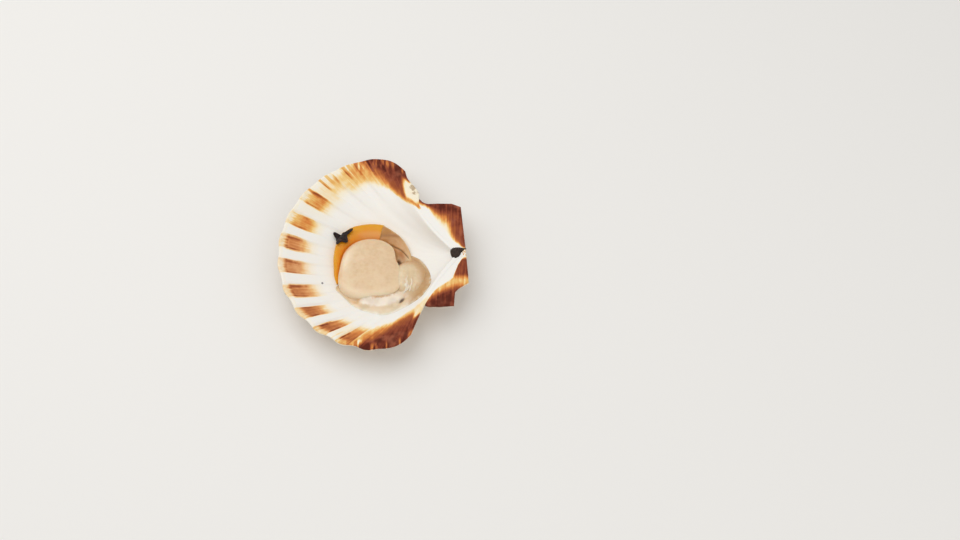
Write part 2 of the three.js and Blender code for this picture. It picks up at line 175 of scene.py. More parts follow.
def disc_point(s, t):
    """Plan position at share t of ray s. The outer rays bow in near the beak and flare at the lip."""
    bow = by_side(s, FLANK_BOW) * s ** 3 * (1 - t)
    lip = plateau(t, FAR_LIP_FROM, FAR_LIP_WIDEST, FAR_LIP_WIDEST, FAR_LIP_TO)
    flare = FAR_LIP_FLARE * np.maximum(s, 0) ** 9 * lip
    angle = np.radians(ray_angle(s) - bow + flare)
    length = ray_length(s) * t
    return length * np.cos(angle), length * np.sin(angle)


def depth_along(t):
    """Depth along a ray: a power of the share times what is left of the ray, 1 at its deepest."""
    deepest = DEPTH_RISE / (1 + DEPTH_RISE)
    return t ** DEPTH_RISE * (1 - t) / (deepest ** DEPTH_RISE * (1 - deepest))


def depth_across(s):
    """Depth across the rays: 1 at the middle ray, 0 at the flanks and negative beyond them."""
    left = 1 - np.abs(s) ** CROSS_POWER
    return np.sign(left) * np.abs(left) ** CROSS_ROUNDING


def locate(out, side):
    """The hollow's own ray and share under a plan position, by going half of the way to them in each
    of forty steps."""
    s, t = np.zeros_like(out), np.full_like(out, 0.5)
    for _ in range(40):
        ahead = out - HINGE_WALL * (1 - t)
        angle = np.degrees(np.arctan2(side, ahead))
        bow = by_side(angle, FLANK_BOW) * np.clip(s * FLANK_INSET, -1.3, 1.3) ** 3 * (1 - t)
        ray = (angle + bow) / by_side(angle, FLANK_ANGLE) / FLANK_INSET
        share = np.hypot(ahead, side) / (ray_length(np.clip(s * FLANK_INSET, -1, 1)) - RIM_LEDGE)
        s = (s + np.clip(ray, -1.5, 1.5)) / 2
        t = (t + np.clip(share, 0, 1.3)) / 2
    return s, t


def bowl_height(s, t):
    """The plain bowl without its channels; above the rim outside the hollow."""
    return -HOLLOW_DEPTH * depth_along(t) * depth_across(s)


def recess(q, t):
    """How far a channel is sunk: a little all the way up, more towards the rim, less at the lip."""
    outermost = blend(1, 0.3, eased_step(np.abs(q), 4.7, 5.3))
    at_lip = blend(1, 0.45, eased_step(t, 0.975, 1.01))
    deep = CHANNEL_DEPTH * outermost * eased_step(t, 0.6, 0.9) * at_lip
    return deep * channel(q) + FAINT_DEPTH * plateau(t, 0.2, 0.45, 0.65, 0.8) * outer_rib(q)


def floor_height(out, side):
    """Height of the shell's inner face under a plan position, level with the ears past the hollow."""
    s, t = locate(out, side)
    bowl = bowl_height(s, t) - recess(fan_position(ray_angle(s * FLANK_INSET)), t)
    return soft_min(bowl, -EAR_DROP, FOLD_ROUNDING)


def outer_height(s, t):
    """The underside: the outer bowl with a round rib under each channel, crests worn flat. Riblets
    run along the ribs, and growth lines lie across them, closer and closer towards the rim."""
    q = fan_position(ray_angle(s))
    bowl = EDGE_THICKNESS + (OUTER_DEPTH - EDGE_THICKNESS) * depth_along(t) * depth_across(s)
    riblets = RIBLET_HEIGHT * np.cos(2 * np.pi * RIBLETS * q) * eased_step(t, 0.25, 0.5) * ribbed(q)
    growth = GROWTH_HEIGHT * np.sin(60 * t ** 1.6) * eased_step(t, 0.3, 0.7)
    ribs = RIB_HEIGHT * np.sqrt(t) * outer_rib(q) + riblets + growth
    return np.maximum(-bowl - ribs * eased_step(np.abs(s), 1.0, 0.97), -RIM_HEIGHT)


def path_points(corners, count):
    """Points at even steps along a line through the corners, as a row of outs and a row of sides."""
    corners = np.array(corners)
    lengths = np.hypot(*np.diff(corners, axis=0).T)
    marks = np.concatenate([[0], np.cumsum(lengths)])
    even = np.linspace(0, marks[-1], count)
    return np.stack([np.interp(even, marks, places) for places in corners.T])


def edge_distance(out, side, edge):
    """Shortest distance from each plan position to a closed line, given as (out, side) rows."""
    stride = np.roll(edge, -1, axis=0) - edge
    span = np.maximum((stride ** 2).sum(1), 1e-12)
    nearest = np.empty(out.shape)
    for rows in np.array_split(np.arange(out.size), 60):
        off = np.stack([out.flat[rows], side.flat[rows]], 1)[:, None] - edge
        share = np.clip((off * stride).sum(2) / span, 0, 1)
        gap = off - share[..., None] * stride
        nearest.flat[rows] = np.sqrt((gap ** 2).sum(2)).min(1)
    return nearest


def grid_triangles(rows, columns, first, flip=False):
    """Two triangles for each square of a grid whose points are numbered from first."""
    corner = first + np.arange(rows - 1)[:, None] * columns + np.arange(columns - 1)
    squares = np.stack([corner, corner + 1, corner + columns + 1, corner + columns], -1).reshape(-1, 4)
    if flip:
        squares = squares[:, ::-1]
    return np.concatenate([squares[:, [0, 1, 2]], squares[:, [0, 2, 3]]])


def welded_piece(name, points, triangles, marks):
    """Makes a mesh piece: points nearer than a micrometre become one, and flat triangles go.
    marks are named numbers, one for each point, kept for the material to read."""
    _, keep, index = np.unique(np.round(points * 1000), axis=0, return_index=True, return_inverse=True)
    corners = index.reshape(-1)[triangles]
    whole = (corners != np.roll(corners, 1, axis=1)).all(1)
    out, side, height = points[keep].T
    place = np.stack([BEAK[0] - out, BEAK[1] + side, RIM_HEIGHT + height], 1) * MM
    mesh = bpy.data.meshes.new(name)
    mesh.from_pydata(place, [], corners[whole])
    for mark, values in marks.items():
        attribute = mesh.attributes.new(mark, "FLOAT", "POINT")
        attribute.data.foreach_set("value", values[keep].astype(np.float32))
    mesh.shade_smooth()
    piece = bpy.data.objects.new(name, mesh)
    bpy.context.scene.collection.objects.link(piece)
    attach(piece, "root")
    return piece


# How strongly the rows of a grid crowd towards its edge.
CROWDING = 0.93


def closer_to_end(count):
    """Shares from 0 to 1 whose steps shrink towards 1."""
    x = np.linspace(0, 1, count)
    return x * (1 + CROWDING - CROWDING * x)


def closer_to_ends(count):
    """Shares from 0 to 1 whose steps shrink towards both ends."""
    x = np.linspace(0, 1, count)
    return 0.2 * x + 0.4 * (1 - np.cos(np.pi * x))


# Colour is laid down as an amount of stain, from 0, white, over gold and orange to 1, dark maroon.
# One number for each channel, near side first: how strongly it is stained, how rosy the stain is, and
# the share of the ray where it starts. Round its start it comes in as the fade says.
CHANNEL_STAIN = np.array([0.55, 0.53, 0.58, 0.6, 0.52, 0.48, 0.48, 0.45, 0.44, 0.2, 0.33, 0.3])
CHANNEL_ROSE = np.array([0.0, 0.15, 0.3, 0.4, 0.5, 0.7, 0.4, 0.0, 0.0, 0.0, 0.0, 0.0])
CHANNEL_START = np.array([0.77, 0.83, 0.84, 0.86, 0.85, 0.865, 0.86, 0.86, 0.865, 0.87, 0.86, 0.83])
CHANNEL_FADE_IN = ((-0.07, 0.0), (-0.035, 0.12), (-0.005, 0.38), (0.02, 0.78), (0.07, 1.0))
# The colour lies a little to one side of each groove. Towards the shoulders it tints the flats between
# the channels too.
COLOUR_SHIFT = ((-5.0, 0.0), (-4.5, 0.04), (-3.5, 0.1), (-1.5, 0.09), (-0.5, 0.0), (1.5, 0.05), (3.0, 0.0))
TINT_BETWEEN = ((-5.6, 0.3), (-5.0, 0.24), (-4.4, 0.13), (-3.6, 0.0), (1.6, 0.0), (3.0, 0.11), (4.2, 0.2),
                (4.9, 0.28), (5.6, 0.3))

# Lines across the rays of each shoulder, where the stain has climbed to each of four amounts.
SHOULDER_AMOUNTS = {"cream": 0.0, "gold": 0.3, "brown": 0.66, "maroon": 0.92}
SHOULDER_LINES = {
    "far": {"fan": (4.8, 5.2, 5.5, 5.75, 6.0, 6.2, 6.45),
            "cream": (0.80, 0.76, 0.71, 0.63, 0.59, 0.58, 0.58),
            "gold": (0.92, 0.85, 0.77, 0.67, 0.62, 0.61, 0.60),
            "brown": (1.30, 0.98, 0.90, 0.75, 0.68, 0.65, 0.64),
            "maroon": (1.50, 1.10, 0.99, 0.95, 0.88, 0.87, 0.86)},
    "near": {"fan": (4.8, 5.1, 5.4, 5.7, 6.0, 6.3, 6.7),
             "cream": (0.78, 0.74, 0.70, 0.66, 0.61, 0.59, 0.60),
             "gold": (0.86, 0.82, 0.76, 0.72, 0.68, 0.665, 0.665),
             "brown": (1.30, 1.00, 0.89, 0.79, 0.73, 0.71, 0.71),
             "maroon": (1.50, 1.04, 0.97, 0.90, 0.88, 0.87, 0.86)},
}
# The pale lip along each flank: its place in the fan, how that moves with the share, its ends and
# how much stain it keeps.
PALE_LIP = {"far": (6.1, 1.2, 0.665, 0.93), "near": (6.45, 1.9, 0.60, 0.82)}
LIP_STAIN = {"far": 0.08, "near": 0.14}

# The far ear's two stained bands: how wide each is, down the hinge at each side position and along the
# free edge at each distance out, how the stain falls off across its width, and where that edge runs.
FAR_HINGE_SLOPE = 0.104
FAR_HINGE_BAND = ((3.5, 1.8), (5.5, 3.9), (7.3, 6.0), (11.0, 8.0), (14.3, 9.0), (17.7, 10.3), (21.0, 12.7),
                  (24.0, 16.0))
FAR_HINGE_FADE = ((0.0, 0.82), (0.4, 0.78), (0.55, 0.68), (0.68, 0.5), (0.8, 0.32), (0.92, 0.16),
                  (1.04, 0.0))
FAR_EDGE_BAND = ((0.0, 14.0), (5.0, 13.0), (8.6, 11.6), (12.0, 8.9), (14.6, 6.6), (17.6, 2.8), (19.0, 2.2),
                 (22.5, 2.8))
FAR_EDGE_FADE = ((0.0, 0.95), (0.4, 0.9), (0.6, 0.72), (0.76, 0.55), (1.0, 0.3), (1.25, 0.1), (1.5, 0.0))
FAR_EDGE_LINE = (*EARS["far"]["corners"][:4], (22.3, 32.1), (25.0, 34.0))
# The near ear: the border of its white part and the line of its maroon block, at each distance out,
# how the stain deepens past that line, and how deep it is at each distance down the hinge.
NEAR_BORDER = ((-1.5, -1.6), (0.4, -2.9), (2.4, -6.5), (4.0, -11.0), (4.9, -14.0), (8.5, -16.8),
               (12.0, -19.2), (14.4, -21.6), (16.1, -24.2), (18.4, -27.0))
NEAR_BLOCK_LINE = ((3.7, -19.3), (7.3, -20.4), (11.1, -22.3), (13.4, -23.9), (15.5, -25.1), (17.6, -27.0))
NEAR_BLOCK_FADE = ((-4.5, 0.24), (-2.2, 0.3), (-1.0, 0.42), (0.3, 0.68), (1.6, 0.9), (4.0, 1.0))
NEAR_WEDGE = ((2.2, 0.3), (3.4, 0.86), (12.0, 0.8), (13.2, 0.5), (15.0, 0.25))
# The side position, beside the cushion, where the far ear's colours begin.
EARS_MEET = 2.6


def ripples(x, y, seed, wavelength):
    """A sum of sine waves of about one length, in directions drawn once from a seed; about -1 to 1."""
    count = 7
    draw = np.random.default_rng(seed)
    total = np.zeros(np.broadcast(x, y).shape)
    for turn, stretch, phase in zip(draw.uniform(0, 2 * np.pi, count), draw.uniform(0.7, 1.4, count),
                                    draw.uniform(0, 2 * np.pi, count)):
        wave = 2 * np.pi / (wavelength * stretch)
        total += np.sin(wave * (x * np.cos(turn) + y * np.sin(turn)) + phase)
    return total / np.sqrt(count) / 1.4


def channel_value(q, per_channel):
    """The entry of the channel that each place in the fan falls in."""
    return per_channel[np.clip(np.floor(q) + CHANNELS // 2, 0, CHANNELS - 1).astype(int)]


def shoulder_stain(q, t):
    """Climbs in straight steps from each of the four lines to the next, towards the rim."""
    names = list(SHOULDER_AMOUNTS)
    total = np.zeros_like(q)
    for side_name, sign in SIDES:
        lines = SHOULDER_LINES[side_name]
        share = {name: np.interp(sign * q, lines["fan"], lines[name]) for name in names}
        climb = 0
        for low, high in zip(names, names[1:]):
            part = np.clip((t - share[low]) / (share[high] - share[low]), 0, 1)
            climb = climb + (SHOULDER_AMOUNTS[high] - SHOULDER_AMOUNTS[low]) * part
        total += climb * eased_step(sign * q, lines["fan"][0] - 0.3, lines["fan"][0] + 0.2)
    return total


def pale_lip(q, t):
    """1 on the pale lip of each flank, which widens away from the ear."""
    total = np.zeros_like(q)
    for side_name, sign in SIDES:
        place, slant, start, end = PALE_LIP[side_name]
        line = place + slant * (t - start)
        along = plateau(t, start - 0.06, start + 0.02, end - 0.06, end)
        total += eased_step(sign * q, line - 0.06, line + 0.08) * along
    return total


def far_ear_stain(out, side):
    """A band down the hinge and a band along the free edge, each of its own varying width."""
    from_hinge = out - (HINGE_MIDDLE[0] + FAR_HINGE_SLOPE * (side - HINGE_MIDDLE[1]))
    from_edge = read_line(out, FAR_EDGE_LINE) - side
    hinge_band = read_line(from_hinge / read_line(side, FAR_HINGE_BAND), FAR_HINGE_FADE)
    edge_band = read_line(from_edge / read_line(out, FAR_EDGE_BAND), FAR_EDGE_FADE)
    return np.maximum(hinge_band, edge_band) * eased_step(side, EARS_MEET, 4.4)


def near_ear_stain(out, side):
    """White up to a slanting border, gold beyond it, then a maroon block; a wedge down the hinge,
    and flecks beside the middle of the hinge."""
    block = read_line(read_line(out, NEAR_BLOCK_LINE) - side, NEAR_BLOCK_FADE)
    stained = np.maximum(block, read_line(-side, NEAR_WEDGE))
    flecks = 0.5 * eased_step(ripples(out, side, 3, 1.1), 0.1, 0.6)
    flecks = flecks * eased_step(side, -2.6, -1.2) * eased_step(out, 1.6, 0.6)
    return np.maximum(stained * eased_step(read_line(out, NEAR_BORDER) - side, -0.5, 0.7), flecks)


def shell_marks(out, side, s, t, ear):
    """What the material reads at a plan position that lies at share t of the hollow's ray s: the place
    in the fan and along it, the amounts of stain in and between the channels, and where it is rosy,
    streaked, combed or tinted olive. ear is 1 on the ears."""
    q = fan_position(ray_angle(s * FLANK_INSET))
    off_ear = 1 - ear
    fade = read_line(t - channel_value(q, CHANNEL_START), CHANNEL_FADE_IN)
    paler = 1 - 0.35 * eased_step(t, 0.9, 0.95) * eased_step(q, 0.8, 1.6)
    bar = 0.16 * eased_step(np.abs(t - 0.972), 0.012, 0.004) * eased_step(np.abs(q + 0.5), 1.7, 1.2)
    in_channel = (channel_value(q, CHANNEL_STAIN) * fade * paler + bar) * ribbed(q)
    between = np.maximum(read_line(q, TINT_BETWEEN) * eased_step(t, 0.79, 0.88),
                         0.13 * eased_step(t, 0.985, 1.0))
    lip = pale_lip(q, t)
    shoulders = blend(shoulder_stain(q, t), by_side(q, LIP_STAIN), lip)
    ears = np.where(side > EARS_MEET, far_ear_stain(out, side), near_ear_stain(out, side)) * ear
    far_tarnish = eased_step(s, 0.99, 1.04) * plateau(t, 0.7, 0.75, 0.84, 0.9)
    # A thin olive-dark line beside the near ear.
    near_olive_line = eased_step(np.abs(q + 6.62), 0.09, 0.03) * eased_step(np.abs(t - 0.69), 0.03, 0.015)
    on_shoulder = eased_step(np.abs(q), 4.3, 5.0) * off_ear
    comb = eased_step(q, 1.6, 2.8) + 0.5 * eased_step(q, -2.5, -3.5)
    return {
        "fan": q + read_line(q, COLOUR_SHIFT),
        "reach": t,
        "stain_in_channel": np.maximum(np.maximum(in_channel, shoulders) * off_ear, ears),
        "stain_between": np.maximum(np.maximum(between, shoulders) * off_ear, ears),
        "rose": channel_value(q, CHANNEL_ROSE) * (1 - on_shoulder) * off_ear,
        "streaked": on_shoulder * blend(0.15, 1, eased_step(t, 0.92, 0.975)) * (1 - lip),
        "comb": comb * eased_step(t, 0.9, 0.96) * off_ear,
        "olive_tint": (far_tarnish + 0.8 * near_olive_line) * off_ear,
        "ear": ear,
    }


# The mesh: how many rays and shares the disc has, the extra rays close to each flank, and how many
# columns run across an ear.
RAYS = 292
SHARES = 132
FLANK_RAYS = np.array([0.9885, 0.9915, 0.994, 0.996, 0.9977, 0.999, 1.0])
EAR_COLUMNS = 46


def ear_patch(rows, side_name, sign):
    """Straight lines from the flank, up to its notch, to the ear's edge, which runs out along the hinge
    and back along the free side. Gives the patch, and the shell's edge on this side of the front."""
    shape = EARS[side_name]
    count = int(np.searchsorted(rows, NOTCH_SHARE[side_name])) + 1
    turn = int(count * shape["hinge_rows"])
    flank = np.stack(disc_point(np.full(len(rows), sign), rows))
    hinge = path_points([HINGE_MIDDLE, *shape["corners"][:shape["hinge_end"] + 1]], turn + 1)
    free = path_points([*shape["corners"][shape["hinge_end"]:], flank[:, count - 1]], count - turn)
    edge = np.concatenate([hinge, free[:, 1:], flank[:, count:]], axis=1)
    share, row = np.meshgrid(closer_to_ends(EAR_COLUMNS), np.arange(count))
    out, side = blend(flank[:, row], edge[:, row], share)
    return {"out": out, "side": side, "s": np.full(share.shape, sign), "t": rows[row], "ear": share}, edge.T


def shell_faces(patch, edge):
    """Heights and marks of a patch's inner and outer face. An ear is a plate that the fold of the bowl
    runs into, and both faces turn over in a quarter circle to meet at the edge."""
    out, side, s, t = patch["out"], patch["side"], patch["s"], patch["t"]
    hollow_s, hollow_t = locate(out, side)
    ear = eased_step(patch["ear"], 0, 0.12)
    notch = by_side(s, NOTCH_SHARE)
    beside_ear = eased_step(t, notch, notch - 0.12) * eased_step(np.abs(s), 0.93, 1)
    level = -EAR_DROP * np.maximum(ear, beside_ear)
    sunk = recess(fan_position(ray_angle(hollow_s * FLANK_INSET)), hollow_t)
    top = soft_min(bowl_height(hollow_s, hollow_t), level, FOLD_ROUNDING)
    top = top - sunk * eased_step(np.abs(hollow_s), 1.02, 1.0)
    ear_riblets = RIBLET_HEIGHT * np.cos(np.degrees(np.arctan2(side, out + 6)) * 1.1)
    plate = -EAR_DROP - EAR_THICKNESS + ear_riblets * eased_step(patch["ear"], 0, 0.3)
    bottom = blend(outer_height(s, t), plate, ear)

    distance = edge_distance(out, side, edge)
    over = 1 - np.sqrt(1 - np.clip(1 - distance / EDGE_ROUNDING, 0, 1) ** 2)
    half = (top - bottom) / 2
    top, bottom = top - half * over, bottom + half * over
    at_edge = distance < 1e-6
    bottom = np.where(at_edge, top, bottom)

    is_ear = patch["ear"].max() > 0
    marks = shell_marks(out, side, hollow_s, hollow_t, eased_step(np.abs(hollow_s), 1.0, 1.04) * is_ear)
    inside = dict(marks, outside=np.where(at_edge, 0.5, 0.35 * over))
    outside = dict(marks, outside=np.where(at_edge, 0.5, 1.0), fan=fan_position(ray_angle(s)))
    return (top, inside), (bottom, outside)


def make_shell():
    """Inner and outer faces over one plan: a fan of rays for the disc, and on each side a ruled
    patch from the flank to the ear's edge."""
    rows = closer_to_end(SHARES)
    rays = np.concatenate([-FLANK_RAYS[::-1], np.linspace(-0.985, 0.985, RAYS), FLANK_RAYS])
    s, t = np.meshgrid(rays, rows)
    out, side = disc_point(s, t)
    disc = {"out": out, "side": side, "s": s, "t": t, "ear": np.zeros_like(s)}
    (far_ear, far_edge), (near_ear, near_edge) = (ear_patch(rows, *which) for which in SIDES)
    front = np.stack([out[-1], side[-1]], 1)
    edge = np.concatenate([far_edge[:-1], front[::-1], near_edge[:-1][::-1]])

    points, triangles, marks = [], [], {}
    first = 0
    for patch, flip in ((disc, False), (far_ear, False), (near_ear, True)):
        top_face, bottom_face = shell_faces(patch, edge)
        for (height, face_marks), turned in ((top_face, flip), (bottom_face, not flip)):
            points.append(np.stack([patch["out"], patch["side"], height], -1).reshape(-1, 3))
            triangles.append(grid_triangles(*height.shape, first, turned))
            first += height.size
            for mark, values in face_marks.items():
                marks.setdefault(mark, []).append(values.reshape(-1))
    marks = {mark: np.concatenate(values) for mark, values in marks.items()}
    return welded_piece("half_shell", np.concatenate(points), np.concatenate(triangles), marks)


def paint(colour):
    """A colour given as it looks on a screen, from 0 to 255, as the light it reflects."""
    share = np.array(colour) / 255
    light = np.where(share <= 0.04045, share / 12.92, ((share + 0.055) / 1.055) ** 2.4)
    return (*light, 1.0)


class Finish:
    """A material being mixed: most methods add one node and give its output."""

    def __init__(self, name):
        self.material = bpy.data.materials.new(name)
        self.material.use_nodes = True
        self.tree = self.material.node_tree
        self.shader = self.tree.nodes["Principled BSDF"]

    def feed(self, socket, value):
        """Links a value that is another node's output, and sets a plain one."""
        if isinstance(value, bpy.types.NodeSocket):
            self.tree.links.new(value, socket)
        else:
            socket.default_value = value

    def node(self, kind, inputs=(), output=0, **settings):
        """A node of one kind, with what goes into its inputs."""
        node = self.tree.nodes.new(kind)
        for setting, value in settings.items():
            setattr(node, setting, value)
        for key, value in dict(inputs).items():
            self.feed(node.inputs[key], value)
        return node.outputs[output]

    def mark(self, name):
        """One of the numbers kept on the mesh."""
        return self.node("ShaderNodeAttribute", attribute_name=name, output="Fac")

    def place(self):
        """The point's place on the object, in metres."""
        return self.node("ShaderNodeTexCoord", output="Object")

    def point(self, x, y, z=0.0):
        """A place made of three numbers."""
        return self.node("ShaderNodeCombineXYZ", {0: x, 1: y, 2: z})

    def scaled(self, at, scale):
        """A place with each of its three numbers multiplied."""
        return self.node("ShaderNodeMapping", {"Vector": at, "Scale": scale})

    def maths(self, operation, a, b=0.0, c=0.0, clamp=False):
        """One sum on up to three numbers."""
        return self.node("ShaderNodeMath", {0: a, 1: b, 2: c}, operation=operation, use_clamp=clamp)

    def times(self, product, *factors):
        """All of them multiplied."""
        for factor in factors:
            product = self.maths("MULTIPLY", product, factor)
        return product

    def add(self, base, extra, share=1.0, clamp=False):
        """The base, and a share of something extra."""
        return self.maths("MULTIPLY_ADD", extra, share, base, clamp)

    def centred(self, value):
        """A number from 0 to 1, moved to lie round 0."""
        return self.maths("SUBTRACT", value, 0.5)

    def step(self, value, start, end):
        """0 at start and 1 at end, smooth between them."""
        return self.node("ShaderNodeMapRange", {0: value, 1: start, 2: end}, interpolation_type="SMOOTHSTEP")

    def noise(self, at, scale, detail=2.0, rough=0.5):
        """Soft blotches, about 1/scale of a unit wide, with finer ones on them."""
        inputs = {"Vector": at, "Scale": scale, "Detail": detail, "Roughness": rough}
        return self.node("ShaderNodeTexNoise", inputs)

    def ramp(self, value, stops):
        """A colour that runs from stop to stop, each given as its value and colour."""
        node = self.tree.nodes.new("ShaderNodeValToRGB")
        band = node.color_ramp
        while len(band.elements) < len(stops):
            band.elements.new(1.0)
        for element, (share, colour) in zip(band.elements, stops):
            element.position = share
            element.color = paint(colour)
        self.feed(node.inputs[0], value)
        return node.outputs[0]

    def mix(self, share, a, b):
        """The first colour where the share is 0, and the second where it is 1."""
        return self.node("ShaderNodeMix", {0: share, 6: a, 7: b}, output=2, data_type="RGBA")

    def glaze(self, colour, *layers):
        """A colour with thin layers laid over it in turn, each given as its cover and colour."""
        for cover, layer in layers:
            colour = self.mix(cover, colour, paint(layer))
        return colour

    def bump(self, height, strength, distance):
        """The surface's direction, tilted as if it had this height."""
        return self.node("ShaderNodeBump", {"Height": height, "Strength": strength, "Distance": distance})

    def coat(self, piece, **sockets):
        """Sets the shader's sockets, named with _ for a space, and puts the material on a piece."""
        for name, value in sockets.items():
            self.feed(self.shader.inputs[name.replace("_", " ")], value)
        piece.data.materials.clear()
        piece.data.materials.append(self.material)


# A grey grain of sand that lies on the floor in front of the meat: its place, and how far its solid
# core and its faint edge reach from it.
GRIT_PLACE = (71.5, -12.7)
GRIT_CORE, GRIT_EDGE = 0.3, 0.7


def paint_shell(piece):
    """Porcelain white, stained in the channels, on the shoulders and on the ears."""
    f = Finish("shell_porcelain")
    place, fan, reach = f.place(), f.mark("fan"), f.mark("reach")
    streaked, comb, ear, face = f.mark("streaked"), f.mark("comb"), f.mark("ear"), f.mark("outside")

    def ray_noise(across, along, detail, rough=0.5, layer=0.0):
        """Noise that follows the rays: across is how fine it is across the fan, along down the ray."""
        return f.noise(f.point(f.times(fan, across), f.times(reach, along), layer), 1.0, detail, rough)

    fine_rays = ray_noise(16.0, 3.0, 3.0, 0.6)
    blotches = f.noise(place, 420.0, 3.0)
    off_middle = f.maths("ABSOLUTE", f.centred(f.maths("FRACT", fan)))
    off_middle = f.add(off_middle, f.centred(ray_noise(5.0, 4.0, 2.0)), 0.24)
    in_channel = f.step(off_middle, 0.33, 0.245)
    near_rim = f.step(f.add(reach, blotches, 0.12), 0.93, 0.99)
    # Thin darker lines along both edges of each channel near the rim: painted shade of the channels' sharp
    # edges.
    edge_shade_line = f.times(f.step(off_middle, 0.17, 0.25), in_channel, near_rim)
    ribs_only = f.maths("SUBTRACT", 1.0, f.add(streaked, ear, clamp=True))

    beside, within = f.mark("stain_between"), f.mark("stain_in_channel")
    stain_and_shade = f.node("ShaderNodeMix", {0: in_channel, 2: beside, 3: within})
    # The painted shade along the channel edges joins the stain here, so the amount holds both.
    stain_and_shade = f.add(stain_and_shade, f.times(edge_shade_line, ribs_only, f.step(stain_and_shade, 0.2, 0.5)), 0.22)
    stain_and_shade = f.add(stain_and_shade, f.times(edge_shade_line, comb), 0.3)
    depth = f.step(stain_and_shade, 0.02, 0.25)
    stain_and_shade = f.add(stain_and_shade, f.times(f.centred(fine_rays), depth), 0.34)
    pale_lines = f.step(f.noise(f.scaled(place, (560.0, 70.0, 70.0)), 1.0, 1.0), 0.5, 0.68)
    stain_and_shade = f.add(stain_and_shade, f.times(pale_lines, streaked), -0.42)
    ragged_rim = f.step(f.add(reach, fine_rays, 0.09), 1.0, 1.04)
    stain_and_shade = f.times(stain_and_shade, f.add(1.0, f.times(ragged_rim, ribs_only), -0.72))
    teeth = f.step(ray_noise(7.0, 1.5, 1.0, layer=5.0), 0.5, 0.64)
    stain_and_shade = f.add(stain_and_shade, f.times(teeth, comb), 0.18)
    ear_streaks = f.centred(f.noise(f.scaled(place, (900.0, 90.0, 200.0)), 1.0, 3.0))
    stain_and_shade = f.add(stain_and_shade, f.times(ear_streaks, ear, depth), 0.7)
    stain_and_shade = f.add(stain_and_shade, f.centred(blotches), f.times(depth, 0.26), clamp=True)

    golden = f.ramp(stain_and_shade, [
        (0.0, (244, 242, 237)), (0.08, (248, 238, 214)), (0.18, (246, 212, 146)), (0.28, (236, 186, 106)),
        (0.42, (222, 138, 66)), (0.55, (192, 112, 56)), (0.68, (164, 88, 48)), (0.8, (146, 74, 50)),
        (0.9, (122, 56, 38)), (1.0, (92, 38, 26)),
    ])
    rosy = f.ramp(stain_and_shade, [
        (0.0, (244, 242, 237)), (0.12, (248, 232, 208)), (0.3, (238, 196, 148)), (0.5, (210, 146, 96)),
        (0.66, (178, 106, 66)), (0.8, (140, 78, 52)), (1.0, (92, 44, 30)),
    ])
    olive = f.step(f.times(f.mark("olive_tint"), f.noise(place, 620.0)), 0.44, 0.66)
    flush = f.times(f.step(stain_and_shade, 0.6, 0.8), f.step(f.noise(place, 150.0), 0.5, 0.75))
    grit = ((BEAK[0] - GRIT_PLACE[0]) * MM, (BEAK[1] + GRIT_PLACE[1]) * MM, 0.0)
    from_grit = f.node("ShaderNodeVectorMath", {0: f.scaled(place, (1.0, 1.0, 0.0)), 1: grit},
                       output="Value", operation="DISTANCE")
    inside = f.glaze(
        f.mix(f.mark("rose"), golden, rosy),
        (f.times(olive, 0.7), (160, 124, 78)),
        (f.times(flush, 0.5), (186, 112, 84)),
        (f.step(from_grit, GRIT_EDGE * MM, GRIT_CORE * MM), (120, 118, 122)),
    )

    bands = f.ramp(ray_noise(0.8, 26.0, 3.0), [
        (0.3, (226, 206, 176)), (0.5, (235, 222, 200)), (0.62, (206, 160, 120)), (0.75, (168, 104, 76)),
    ])
    rind = f.ramp(f.noise(place, 300.0), [(0.3, (240, 224, 190)), (0.6, (246, 238, 222))])
    outside = f.mix(f.step(face, 0.62, 0.9), rind, bands)
    bare_edge = f.times(f.step(stain_and_shade, 0.8, 0.6), f.step(face, 0.1, 0.45))
    bare_edge = f.maths("MAXIMUM", bare_edge, f.times(f.step(face, 0.2, 0.45), 0.5))
    is_outside = f.maths("MAXIMUM", bare_edge, f.step(face, 0.45, 0.55))
    growth = f.times(ray_noise(0.6, 90.0, 2.0), 0.25)
    f.coat(
        piece,
        Base_Color=f.mix(is_outside, inside, outside),
        Roughness=f.add(0.42, f.step(face, 0.4, 0.7), 0.25),
        Specular_IOR_Level=f.add(0.2, f.step(stain_and_shade, 0.35, 0.8), -0.14),
        Normal=f.bump(f.add(growth, fine_rays, f.add(0.12, depth, 0.6)), 0.35, 0.0004),
        Subsurface_Weight=0.12,
        Subsurface_Radius=(1.0, 0.8, 0.6),
        Subsurface_Scale=0.002,
    )


shell = make_shell()
paint_shell(shell)
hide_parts("shell")

# ==== The hinge cushion ===============================================================
# The springy black pad that pushes the two valves apart, set in a pit in the middle of the hinge. It
# is a horny rubber of its own, and thins to a dark line that runs out to the hinge edge.

CUSHION_CENTRE = (3.5, -0.1)
CUSHION_SPREAD = 3.3
CUSHION_TOP = 0.7
CUSHION_BOTTOM = -2.0
CUSHION_ROUNDING = 0.45
CUSHION_WRINKLES = 0.16
# Reach of the pad's outline at each angle, with the tongue at 147 degrees.
CUSHION_OUTLINE = ((8, 2.8), (43, 3.8), (61, 4.1), (82, 3.8), (104, 3.9), (128, 4.7), (147, 6.1), (158, 3.7),
                   (175, 2.8), (215, 2.5), (255, 2.8), (275, 3.1), (292, 2.9), (318, 2.5), (340, 2.5))


